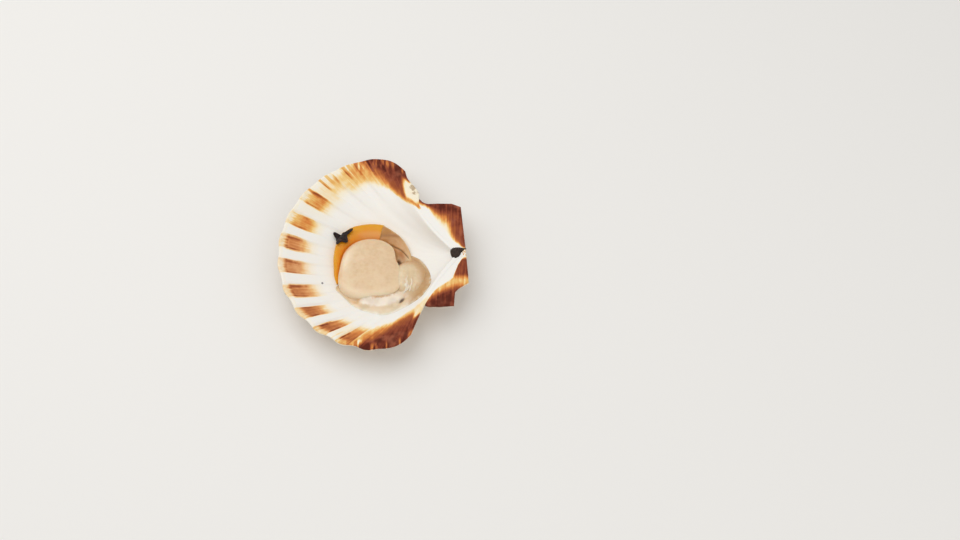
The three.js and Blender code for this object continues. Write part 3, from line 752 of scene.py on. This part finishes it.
def mound(name, angles, shares, plan, lower, upper, marks=None):
    """A closed body between a lower and an upper face over one plan. Each face is a grid of angle
    and share. Where they end, a wall joins them by way of their middle height."""
    ring = np.isclose(angles[-1] - angles[0], 360)
    around = angles if ring else np.concatenate([angles[:1], angles, angles[-1:]])
    share = np.concatenate([shares[:1], shares, shares[-1:], shares[::-1], shares[:1]])
    row = np.arange(len(share))[:, None]
    last_below = len(shares) + 1
    angle, t = np.meshgrid(around, share)
    out, side = plan(angle, t)
    low, high = lower(angle, t), upper(angle, t)
    closing = np.isin(row, (0, last_below, len(share) - 1)) | np.zeros(t.shape, bool)
    if not ring:
        closing[:, [0, -1]] = True
    height = np.where(closing, (low + high) / 2, np.where(row > last_below, high, low))
    points = np.stack([out, side, height], -1).reshape(-1, 3)
    read = {mark: values(angle, t).reshape(-1) for mark, values in (marks or {}).items()}
    return welded_piece(name, points, grid_triangles(*angle.shape, 0, flip=True), read)


def polar_point(centre, angle, radius):
    """Plan position at an angle and radius round a centre."""
    turn = np.radians(angle)
    return centre[0] + radius * np.cos(turn), centre[1] + radius * np.sin(turn)


def make_cushion():
    """A flat-topped pad that follows the outline, rounded over at its edge, with a wrinkled top."""
    def plan(angle, t):
        return polar_point(CUSHION_CENTRE, angle, read_line(angle, CUSHION_OUTLINE, period=360) * t)

    def lower(angle, t):
        return CUSHION_BOTTOM + 0.3 * t ** 6

    def top(angle, t):
        out, side = plan(angle, t)
        away = np.hypot(out - CUSHION_CENTRE[0], side - CUSHION_CENTRE[1]) / CUSHION_SPREAD
        wrinkles = CUSHION_WRINKLES * ripples(out, side, 4, 1.3) * (1 - t ** 6)
        fall = CUSHION_ROUNDING * t ** 5 + 0.2 * eased_step(away, 0.9, 1.5) * (1 - t ** 5)
        return CUSHION_TOP - (CUSHION_TOP - CUSHION_BOTTOM) * fall + wrinkles

    return mound("hinge_pad", np.linspace(0, 360, 121), closer_to_end(22), plan, lower, top)


def paint_dark(piece, name, scale, stops):
    """A dark dry skin: one fine grain that both colours and wrinkles it."""
    f = Finish(name)
    grain = f.noise(f.place(), scale, 3.0)
    f.coat(
        piece,
        Base_Color=f.ramp(grain, stops),
        Roughness=0.5,
        Specular_IOR_Level=0.3,
        Normal=f.bump(grain, 0.6, 0.0004),
    )


cushion = make_cushion()
paint_dark(cushion, "black_horn", 1400.0, [(0.3, (26, 18, 12)), (0.7, (62, 44, 32))])
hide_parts("hinge_cushion")

# ==== The big muscle ==================================================================
# The white meat that closed the shell: a drum of upright fibres, cut through at the top, so that its
# upper face is flat and finely grained and its edge is rounded and moist.

BED = -0.6
MUSCLE_CENTRE = (47.6, -4.2)
MUSCLE_RADII = (15.8, 16.8)
# Blunt corners of the drum, each as angle, reach and width.
MUSCLE_CORNERS = ((-47.0, 3.2, 27.0), (-90.0, 0.6, 30.0), (-137.0, 4.0, 26.0), (162.0, -2.3, 24.0),
                  (8.0, -1.1, 26.0))
MUSCLE_TOP = -4.4
MUSCLE_SHOULDER = 3.4
MUSCLE_LEAN = 0.4
PIT = (33.1, -0.6)
PIT_HALF = (1.7, 2.5)
# Soft spots of colour, each as angle and half width in degrees, and radius and half width.
# The crease spot is painted shade, in the gap between the muscle and the roe.
CREASE = (104.0, 26.0, 17.2, 0.8)
# The pale spots are painted light: lighter on the front edge, which faces the lamp, and on the near
# shoulder, which turns away from it.
PAINTED_LIGHT_SPOTS = ((15.0, 34.0, 12.5, 2.5), (-84.0, 44.0, 17.5, 2.6))
ROE_GLOW = (30.0, 30.0, 16.2, 1.5)


def bell(*offsets):
    """1 where the offsets are 0, falling away like a bell: e to minus the sum of their squares."""
    return np.exp(-sum(offset ** 2 for offset in offsets))


def turned_from(angle, towards):
    """How far an angle is turned from another one, from -180 to 180 degrees."""
    return (angle - towards + 180) % 360 - 180


def over(plan, values):
    """Makes a function of plan position into one of angle and share."""
    return lambda angle, t: values(*plan(angle, t))


def bedded(name, angles, shares, plan, top, marks):
    """A mound whose lower face is sunk a little into the shell's floor, so that no gap shows."""
    def lower(angle, t):
        return floor_height(*plan(angle, t)) + BED

    return mound(name, angles, shares, plan, lower, top, marks)


def muscle_reach(angle):
    """From the middle of the big muscle to its side: a slightly uneven oval with blunt corners."""
    turn = np.radians(angle)
    a, b = MUSCLE_RADII
    reach = a * b / np.hypot(b * np.cos(turn), a * np.sin(turn))
    reach = reach * (1 + 0.018 * np.cos(2 * turn + 0.6) + 0.012 * np.cos(3 * turn - 1.1))
    for towards, corner, width in MUSCLE_CORNERS:
        reach = reach + corner * bell(turned_from(angle, towards) / width)
    return reach


def brown_pit(out, side):
    """1 in the little brown hollow where the gut and the two muscles meet, fading round it."""
    return bell((out - PIT[0]) / PIT_HALF[0], (side - PIT[1]) / PIT_HALF[1])


def make_big_muscle():
    """A drum on the shell's floor: flat top with slight hollows, shoulder turned over like a wave."""
    def plan(angle, t):
        return polar_point(MUSCLE_CENTRE, angle, muscle_reach(angle) * t)

    def top(angle, t):
        out, side = plan(angle, t)
        beside_small = eased_step(np.cos(np.radians(angle + 172)), 0.35, 0.85)
        near_side = eased_step(np.cos(np.radians(angle + 90)), 0.1, 0.9)
        steepness = blend(blend(7, 12, near_side), 4, beside_small)
        drop = MUSCLE_SHOULDER * blend(1, 0.24, beside_small)
        shoulder = drop * (1 - np.sqrt(np.maximum(0, 1 - t ** steepness)))
        lean = MUSCLE_LEAN * np.cos(np.radians(angle - 70)) * t * t
        swell = 0.14 * ripples(out, side, 11, 13.0) + 0.05 * ripples(out, side, 12, 3.5)
        return MUSCLE_TOP - shoulder + lean + swell * (1 - t ** 4)

    def spot(angle, t, towards, width, radius, spread):
        """A soft spot round one angle and radius, 1 in its middle."""
        return bell(turned_from(angle, towards) / width, (muscle_reach(angle) * t - radius) / spread)

    def crease_shade_and_pit(angle, t):
        """Painted shade in the crease beside the roe, and brown in the pit."""
        return 0.3 * spot(angle, t, *CREASE) + 0.5 * brown_pit(*plan(angle, t))

    return bedded("white_meat", np.linspace(0, 360, 241), closer_to_end(70), plan, top, {
        "crease_shade_and_pit": crease_shade_and_pit,
        "painted_light": lambda angle, t: sum(spot(angle, t, *pale) for pale in PAINTED_LIGHT_SPOTS),
        "flush": lambda angle, t: spot(angle, t, *ROE_GLOW),
    })


def paint_meat(piece, name, tones, glow, tint):
    """Moist flesh: two layers of soft blotches over fine grain, with light sinking in. tint takes
    the finish and the colour so far, and gives the colour to use."""
    f = Finish(name)
    place = f.place()
    mottle = f.noise(place, 520.0, 3.0)
    clouds = f.times(f.noise(place, 120.0, 3.0), 0.55)
    f.coat(
        piece,
        Base_Color=tint(f, f.ramp(f.add(clouds, mottle, 0.45), tones)),
        Roughness=f.step(mottle, 0.9, 0.2),
        Specular_IOR_Level=0.4,
        Normal=f.bump(f.add(f.noise(place, 2200.0), mottle, 0.8), 0.5, 0.00025),
        Subsurface_Weight=glow,
        Subsurface_Radius=(1.0, 0.55, 0.3),
        Subsurface_Scale=0.0025,
        Coat_Weight=0.3,
        Coat_Roughness=0.15,
    )


def tint_big_muscle(f, colour):
    """Painted light at the front and on the near side, a painted orange glow where the roe shines through,
    painted shade in the crease beside the roe, and brown in the pit."""
    crease_shade_and_pit = f.add(f.mark("crease_shade_and_pit"), f.centred(f.noise(f.place(), 700.0)), 0.5)
    brown = f.ramp(crease_shade_and_pit, [
        (0.1, (226, 190, 148)), (0.3, (205, 150, 98)), (0.6, (150, 100, 56)), (0.85, (110, 70, 36)),
    ])
    # Painted light on the front edge and the near shoulder, and a painted orange glow where the roe shines
    # through.
    colour = f.glaze(colour, (f.mark("painted_light"), (243, 224, 194)), (f.mark("flush"), (222, 132, 62)))
    return f.mix(f.step(crease_shade_and_pit, 0.08, 0.4), colour, brown)


big_muscle = make_big_muscle()
paint_meat(big_muscle, "raw_white_meat",
           [(0.34, (221, 190, 152)), (0.5, (227, 198, 160)), (0.66, (232, 206, 170))], 0.35,
           tint_big_muscle)
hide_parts("big_muscle")

# ==== The small muscle ================================================================
# The tough paler muscle beside the big one, on the hinge side. It is a wet pad, pressed into folds
# where it meets the big muscle, so that it catches the light, which is painted on as a white highlight.

SMALL_CENTRE = (28.4, -10.5)
SMALL_RADII = (10.2, 12.7)
SMALL_TOP = -6.8
SMALL_FOOT = 0.5
SMALL_JOIN = 2.0
WRINKLE_HEIGHT = 0.35
CREST_HEIGHT = 0.7
PIT_DEPTH = 1.3
PIT_BROWN = (112, 74, 38)


def muscle_polar(out, side):
    """Angle and radius of a plan position round the middle of the big muscle."""
    ahead, across = out - MUSCLE_CENTRE[0], side - MUSCLE_CENTRE[1]
    return np.degrees(np.arctan2(across, ahead)), np.hypot(ahead, across)


def beside_muscle(out, side):
    """Distance out from the big muscle's side, measured from its middle."""
    angle, radius = muscle_polar(out, side)
    return radius - muscle_reach(angle)


def make_small_muscle():
    """An oval pad that falls away to its foot, with folds that run along the big muscle's side."""
    def plan(angle, t):
        turn = np.radians(angle)
        ahead, across = (radius * t for radius in SMALL_RADII)
        return SMALL_CENTRE[0] + ahead * np.cos(turn), SMALL_CENTRE[1] + across * np.sin(turn)

    def wrinkle(out, side):
        """Wet folds that run along the big muscle's side and die out away from it."""
        beside = beside_muscle(out, side)
        wave = np.sin(beside * 2.6 + 1.6 * ripples(out, side, 22, 6.0))
        return np.maximum(wave, 0) * bell((beside - 4.5) / 3.0) * eased_step(side, -8.0, -13.0)

    def crest(out, side):
        """The wet ridge where the two muscles press together, on the near side."""
        angle, _ = muscle_polar(out, side)
        ridge = bell((beside_muscle(out, side) - 3.5 - 0.8 * ripples(out, side, 23, 4.0)) / 0.8)
        return ridge * plateau(angle, -162, -150, -124, -112)

    def top(angle, t):
        out, side = plan(angle, t)
        joined = SMALL_TOP + SMALL_JOIN * bell(np.maximum(beside_muscle(out, side), 0) / 4.0)
        crumple = (0.1 * ripples(out, side, 21, 5.0) + WRINKLE_HEIGHT * wrinkle(out, side)
                   + CREST_HEIGHT * crest(out, side))
        body = blend(joined, floor_height(out, side) + SMALL_FOOT, t ** 4) + crumple * (1 - t ** 6)
        return body - PIT_DEPTH * brown_pit(out, side)

    def wet(out, side):
        """Where the painted highlight lies: where light catches the ridge and the folds."""
        return np.maximum(crest(out, side), 0.8 * wrinkle(out, side))

    return bedded("pale_meat", np.linspace(0, 360, 241), closer_to_end(80), plan, top, {
        "crest": over(plan, wet),
        "rim": lambda angle, t: t,
        "pit": over(plan, brown_pit),
    })


def pit_layer(f):
    """Brown laid into the pit, as a cover and a colour."""
    return f.step(f.mark("pit"), 0.1, 0.8), PIT_BROWN


def tint_small_muscle(f, colour):
    """Tan towards the foot, a painted white highlight along the wet crest and folds, and brown in the pit.
    """
    return f.glaze(
        colour,
        (f.step(f.mark("rim"), 0.45, 0.92), (200, 158, 112)),
        # Painted highlight on the wet crest and folds.
        (f.step(f.mark("crest"), 0.15, 0.8), (240, 228, 210)),
        pit_layer(f),
    )


small_muscle = make_small_muscle()
paint_meat(small_muscle, "wet_pale_meat",
           [(0.36, (220, 194, 156)), (0.5, (226, 203, 168)), (0.62, (232, 212, 180))], 0.4,
           tint_small_muscle)
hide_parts("small_muscle")

# ==== The roe =========================================================================
# The soft orange crescent that lies against the far side of the big muscle, a smooth wet sac that is
# yellower along its outer edge.

ROLL_TUCK = 0.6
ROLL_EDGE = 0.5
ROLL_TIP = 0.2
ROLL_FULLNESS = 2.8


def roe_reach(k):
    """From the middle of the big muscle to the roe's outer side: it swells from the front end on."""
    return 18.6 + 8.2 * eased_step(k, 0.18, 0.77)


ROE = {"angles": (-26.0, 106.0), "reach": roe_reach, "height": 4.8, "tapers": (0.3, 0.015)}


def roll_crown(roll, k, t):
    """Height of a soft roll: round in section, and lower towards both ends."""
    start, end = roll["tapers"]
    section = np.sqrt(np.maximum(0, 1 - np.abs(2 * t - 1) ** ROLL_FULLNESS))
    fullness = blend(ROLL_TIP, 1, plateau(k, 0, start, 1 - end, 1))
    return ROLL_EDGE + (roll["height"] - ROLL_EDGE) * fullness * section


def roll_polar(roll, k, t):
    """Angle and radius round the big muscle at share k along a roll and share t across it, from the
    muscle's side out to the roll's own reach."""
    first, last = roll["angles"]
    angle = first + (last - first) * k
    return angle, blend(muscle_reach(angle) - ROLL_TUCK, roll["reach"](k), t)


def make_roll(name, roll, count, relief, marks):
    """A soft roll between two angles, from the side of the big muscle out to its own reach. relief
    is added in proportion to its height. Relief and marks are functions of the shares along and across."""
    first, last = roll["angles"]

    def along(angle):
        return (angle - first) / (last - first)

    def plan(angle, t):
        return polar_point(MUSCLE_CENTRE, *roll_polar(roll, along(angle), t))

    def top(angle, t):
        crown = roll_crown(roll, along(angle), t)
        return floor_height(*plan(angle, t)) + crown + relief(along(angle), t) * crown / roll["height"]

    def read(values):
        return lambda angle, t: values(along(angle), t)

    return bedded(name, np.linspace(first, last, count), closer_to_ends(80), plan, top,
                  {mark: read(values) for mark, values in marks.items()})


def roe_relief(k, t):
    """Slight swellings, gone at both sides."""
    return 0.12 * ripples(40 * k, 9 * t, 31, 6.0) * np.sin(np.pi * t)


roe = make_roll("coral", ROE, 140, roe_relief, {
    "across": lambda k, t: t,
    "paler": lambda k, t: eased_step(k, 0.66, 0.84) * plateau(t, 0.02, 0.12, 0.4, 0.62),
})
sac = Finish("coral_sac")
sac_place = sac.place()
sac_across = sac.add(sac.mark("across"), sac.centred(sac.noise(sac_place, 260.0, 3.0)), 0.35)
sac_flesh = sac.ramp(sac_across, [
    (0.0, (192, 112, 28)), (0.12, (222, 132, 26)), (0.35, (228, 142, 24)), (0.62, (226, 152, 22)),
    (0.95, (222, 162, 34)),
])
sac.coat(
    roe,
    Base_Color=sac.glaze(sac_flesh, (sac.times(sac.mark("paler"), 0.5), (224, 166, 104))),
    Roughness=0.4,
    Specular_IOR_Level=0.25,
    Normal=sac.bump(sac.noise(sac_place, 900.0, 3.0), 0.35, 0.0003),
    Subsurface_Weight=0.35,
    Subsurface_Radius=(1.0, 0.4, 0.12),
    Subsurface_Scale=0.0015,
    Coat_Weight=0.1,
    Coat_Roughness=0.15,
)
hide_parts("roe")

# ==== The gut =========================================================================
# The tan root of the roe, where it runs on round the muscle towards the hinge: a flabby tube with
# folds along it, with painted shade in the fold beside the muscle and along the dent near the roe.


def gut_reach(k):
    """From the middle of the big muscle to the tube's outer side, closing in towards the hinge."""
    return 26.7 - 5.2 * np.maximum(k, 0) ** 0.9


GUT = {"angles": (101.0, 176.0), "reach": gut_reach, "height": 4.4, "tapers": (0.02, 0.5)}
# Lines that run along the tube, each as angle and radius round the middle of the big muscle.
GUT_CREASE = ((110.0, 15.9), (118.0, 16.7), (135.0, 17.9), (150.0, 19.5), (163.0, 21.0))
GUT_OUTLINE = ((103.0, 19.4), (112.0, 20.8), (121.0, 22.4), (130.0, 23.6))
# The small brown swelling: angle and half width in degrees, radius and half width.
GUT_SWELLING = (150.0, 12.0, 18.0, 1.8)


def gut_line(k, t, line, width):
    """1 along one of the lines, fading out to both sides of it and at its ends."""
    angle, radius = roll_polar(GUT, k, t)
    first, last = line[0][0], line[-1][0]
    ends = plateau(angle, first - 4, first + 4, last - 5, last + 3)
    return bell((radius - read_line(angle, line)) / width) * ends


def gut_crease(k, t):
    """The fold along the tube, close to the muscle."""
    return gut_line(k, t, GUT_CREASE, 0.45)


def gut_outline(k, t):
    """The dent along its outer side, near the roe."""
    return gut_line(k, t, GUT_OUTLINE, 1.0)


def gut_swelling(k, t):
    """1 in the middle of the small brown swelling beside the muscle."""
    angle, radius = roll_polar(GUT, k, t)
    towards, half_turn, reach, half_width = GUT_SWELLING
    return bell((angle - towards) / half_turn, (radius - reach) / half_width)


def gut_pit(k, t):
    """The brown pit, where it reaches into the tube."""
    return brown_pit(*polar_point(MUSCLE_CENTRE, *roll_polar(GUT, k, t)))


def gut_relief(k, t):
    """Soft swellings, with the fold and the dent pressed into them."""
    soft = 0.45 * ripples(14 * k, 5 * t, 34, 3.0)
    return soft - 0.8 * gut_crease(k, t) - 0.3 * gut_outline(k, t) + 0.3 * gut_swelling(k, t)


gut = make_roll("tan_root", GUT, 150, gut_relief, {
    "along": lambda k, t: k,
    "across": lambda k, t: t,
    "crease": gut_crease,
    "outline": gut_outline,
    "swelling": gut_swelling,
    "pit": gut_pit,
})
tube = Finish("tan_skin")
tube_clouds = tube.centred(tube.noise(tube.place(), 420.0, 3.0))
tube_flesh = tube.ramp(tube.add(tube.mark("along"), tube_clouds, 0.4), [
    (0.0, (192, 138, 72)), (0.18, (182, 128, 72)), (0.34, (190, 140, 86)), (0.55, (208, 164, 116)),
    (0.8, (224, 192, 150)),
])
tube.coat(
    gut,
    Base_Color=tube.glaze(
        tube_flesh,
        (tube.step(tube.mark("across"), 0.8, 1.0), (218, 180, 126)),
        # Painted shade along the dent near the roe.
        (tube.times(tube.mark("outline"), 0.75), (160, 110, 62)),
        (tube.times(tube.mark("swelling"), 0.9), (184, 122, 68)),
        # Painted shade in the fold beside the muscle.
        (tube.step(tube.mark("crease"), 0.1, 1.3), (136, 102, 66)),
        pit_layer(tube),
    ),
    Roughness=0.38,
    Specular_IOR_Level=0.35,
    Normal=tube.bump(tube_clouds, 0.4, 0.0004),
    Subsurface_Weight=0.3,
    Subsurface_Radius=(1.0, 0.5, 0.25),
    Subsurface_Scale=0.0015,
    Coat_Weight=0.15,
    Coat_Roughness=0.2,
)
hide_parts("gut")

# ==== The frill =======================================================================
# What is left of the mantle: a thin wet skin round the foot of both muscles, bunched into a tan fold
# at the front and a pale strip along the near side.

MANTLE_ANGLES = (-212.0, -28.0)
MANTLE_RADIUS = 20.6
# Rounded lobes of the hem, each as angle, reach and width.
MANTLE_LOBES = ((-160.0, 13.5, 38.0), (-106.0, 6.4, 34.0))
MANTLE_THICKNESS = 2.2
MANTLE_EDGE = -0.3
MANTLE_TIP = 14.0
MANTLE_TUCK = 1.6
MANTLE_CLIMB = 3.2
PLEAT_HEIGHT = 0.5
# The slit: angle and half width in degrees, radius and half width.
MANTLE_SLIT = (-131.0, 4.5, 25.6, 0.8)
SLIT_DEPTH = 1.2
MANTLE_ROLL = {"height": 1.5, "inset": 3.6, "width": 2.4, "angles": (-196.0, -132.0)}


def mantle_reach(angle):
    """From the middle of the big muscle out to the hem: a circle with two rounded lobes."""
    lobes = [lobe * bell((angle - towards) / width) for towards, lobe, width in MANTLE_LOBES]
    return MANTLE_RADIUS + sum(lobes)


def make_frill():
    """A skirt from under the muscles out to a wavy hem, thinning towards it, with soft pleats. It
    climbs the big muscle's near side, and beside the small one it has a roll along its edge."""
    first, last = MANTLE_ANGLES

    def radius(angle, t):
        hem = mantle_reach(angle) + 0.5 * np.sin(np.radians(angle * 9)) * t
        return blend(muscle_reach(angle) - MANTLE_TUCK, hem, t)

    def plan(angle, t):
        return polar_point(MUSCLE_CENTRE, angle, radius(angle, t))

    def slit(angle, t):
        """A short opening between the frill and the foot of the small muscle, darkened with painted shadow.
        """
        towards, half_turn, reach, half_width = MANTLE_SLIT
        return bell((angle - towards) / half_turn, (radius(angle, t) - reach) / half_width)

    def roll(angle, t):
        """Height of the roll, a little in from the hem."""
        start, end = MANTLE_ROLL["angles"]
        off = mantle_reach(angle) - MANTLE_ROLL["inset"] - radius(angle, t)
        beside_small = plateau(angle, start, start + 24, end - 16, end)
        return MANTLE_ROLL["height"] * bell(off / MANTLE_ROLL["width"]) * beside_small * (1 - t ** 6)

    def top(angle, t):
        ends = plateau(angle, first, first + MANTLE_TIP, last - MANTLE_TIP, last)
        fullness = blend(0.2, 1, ends) * (1 - t ** 1.8)
        pleats = PLEAT_HEIGHT * ripples(angle / 4.0, 7 * t, 41, 4.0)
        pleats = pleats * np.sin(np.pi * np.clip(t * 1.05, 0, 1))
        climb = MANTLE_CLIMB * eased_step(t, 0.8, 0.0) * plateau(angle, -165, -145, -92, -64)
        body = blend(MANTLE_EDGE, MANTLE_THICKNESS + climb + roll(angle, t), fullness)
        body = body + pleats * ends - SLIT_DEPTH * slit(angle, t)
        return floor_height(*plan(angle, t)) + np.maximum(body, MANTLE_EDGE)

    return bedded("frill", np.linspace(first, last, 260), closer_to_end(60), plan, top, {
        "turn": lambda angle, t: angle,
        "across": lambda angle, t: t,
        "slit": slit,
        "pit": over(plan, brown_pit),
    })


frill = make_frill()
skin = Finish("wet_frill")
skin_clouds = skin.noise(skin.place(), 380.0, 3.0)
skin_turn = skin.add(skin.mark("turn"), skin.centred(skin_clouds), 14.0)
skin_across = skin.add(skin.mark("across"), skin.centred(skin_clouds), 0.3)
skin_tan = skin.ramp(skin_across, [
    (0.1, (220, 192, 154)), (0.5, (214, 182, 140)), (0.76, (190, 146, 96)), (0.9, (206, 168, 122)),
    (1.0, (238, 232, 220)),
])
# The strip's tan inner edge is a painted shadow line along the foot of the big muscle.
skin_strip = skin.ramp(skin_across, [
    (0.12, (206, 168, 126)), (0.2, (236, 222, 202)), (0.45, (240, 228, 212)), (0.58, (226, 202, 168)),
    (0.8, (230, 210, 180)), (1.0, (242, 237, 228)),
])
skin_fold = skin.ramp(skin_across, [
    (0.1, (214, 172, 126)), (0.35, (228, 192, 150)), (0.65, (226, 192, 150)), (0.85, (234, 214, 186)),
    (1.0, (242, 237, 228)),
])
skin_near = skin.mix(skin.step(skin_turn, -74.0, -84.0), skin_fold, skin_strip)
skin_whole = skin.mix(skin.step(skin_turn, -124.0, -148.0), skin_near, skin_tan)
skin.coat(
    frill,
    Base_Color=skin.glaze(
        skin_whole,
        # Painted shadow in the slit.
        (skin.step(skin.mark("slit"), 0.15, 0.9), (112, 84, 62)),
        pit_layer(skin),
    ),
    Roughness=0.22,
    Normal=skin.bump(skin_clouds, 0.4, 0.0004),
    Subsurface_Weight=0.4,
    Subsurface_Radius=(1.0, 0.6, 0.35),
    Subsurface_Scale=0.002,
    Coat_Weight=0.5,
    Coat_Roughness=0.1,
)
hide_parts("mantle")

# ==== The scrap of skin ===============================================================
# A pointed tatter of dark skin left lying over the outer edge of the roe, its tips curled up as it
# dries.

SCRAP_CENTRE = (62.6, 13.0)
SCRAP_CORE = 3.0
SCRAP_THICKNESS = 1.0
SCRAP_LIFT = 0.3
SCRAP_CURL = 1.1
# Its points, each as angle, length and width.
SCRAP_SPIKES = ((42.0, 2.9, 19.0), (142.0, 4.4, 12.0), (-64.0, 2.2, 18.0), (-132.0, 1.6, 26.0))


def roe_top(out, side):
    """Top of the roe over a plan position, or the shell where there is no roe."""
    angle, radius = muscle_polar(out, side)
    first, last = ROE["angles"]
    k = (angle - first) / (last - first)
    inner = muscle_reach(angle) - ROLL_TUCK
    t = (radius - inner) / (roe_reach(k) - inner)
    covered = (t > 0) & (t < 1) & (k > 0) & (k < 1)
    crown = roll_crown(ROE, np.clip(k, 0, 1), np.clip(t, 0, 1))
    return floor_height(out, side) + np.where(covered, crown, 0)


def make_scrap():
    """A star whose reach swells towards each spike, laid over the roe and curled up at the tips."""
    def plan(angle, t):
        reach = np.full_like(angle, SCRAP_CORE)
        for towards, length, width in SCRAP_SPIKES:
            reach = reach + length * bell(turned_from(angle, towards) / width)
        return polar_point(SCRAP_CENTRE, angle, reach * t)

    def rest(angle, t):
        return roe_top(*plan(angle, t)) + SCRAP_LIFT + SCRAP_CURL * t ** 3

    def top(angle, t):
        crumple = 0.25 * ripples(*plan(angle, t), 51, 2.0) * (1 - t ** 4)
        return rest(angle, t) + SCRAP_THICKNESS * (1 - 0.7 * t * t) + crumple

    return mound("skin_tatter", np.linspace(0, 360, 145), closer_to_end(26), plan, rest, top)


scrap = make_scrap()
paint_dark(scrap, "dried_dark_skin", 900.0, [(0.35, (16, 8, 9)), (0.6, (34, 16, 15)), (0.78, (80, 28, 20))])
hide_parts("skin_scrap")

# ==== Stage: table, light and camera ==================================================
# A pale matt table under broad soft lamps, seen from above as over a tray. Places are in metres.

TABLE_HALF = 1.2
bpy.ops.mesh.primitive_plane_add(size=2 * TABLE_HALF, location=(0, 0, 0))
table = bpy.context.object
table.name = "table"
Finish("pale_table").coat(table, Base_Color=paint((238, 237, 235)), Roughness=0.7)

world = bpy.data.worlds.new("studio")
bpy.context.scene.world = world
world.use_nodes = True
sky = world.node_tree.nodes["Background"]
sky.inputs["Color"].default_value = (1.0, 0.995, 0.98, 1.0)
sky.inputs["Strength"].default_value = 0.58


def add_lamp(name, place, size, power, colour):
    """A square soft lamp at a place, turned to face the middle of the table."""
    lamp = bpy.data.lights.new(name, "AREA")
    lamp.size = size
    lamp.energy = power
    lamp.color = colour
    holder = bpy.data.objects.new(name, lamp)
    holder.location = place
    x, y, z = place
    holder.rotation_euler = (np.arctan2(np.hypot(x, y), z), 0, np.arctan2(-y, -x) - np.pi / 2)
    bpy.context.scene.collection.objects.link(holder)


add_lamp("key", (-0.34, 0.22, 0.86), 1.1, 4.7, (1.0, 0.98, 0.95))
add_lamp("fill", (0.5, -0.5, 0.6), 0.8, 1.2, (1.0, 0.97, 0.93))

# The camera looks along +Y and down.
CAMERA_PLACE = (0.054125, -0.4347, 0.7901)
CAMERA_ELEVATION = 61.3
FOCAL_PIXELS = 1746.0
IMAGE_WIDTH = 960.0
SENSOR = 36.0

camera_data = bpy.data.cameras.new("camera")
camera_data.sensor_width = SENSOR
camera_data.lens = FOCAL_PIXELS / IMAGE_WIDTH * SENSOR
camera = bpy.data.objects.new("camera", camera_data)
camera.location = CAMERA_PLACE
camera.rotation_euler = (np.radians(90 - CAMERA_ELEVATION), 0, 0)
bpy.context.scene.collection.objects.link(camera)
bpy.context.scene.camera = camera
bpy.context.scene.view_settings.view_transform = "Standard"
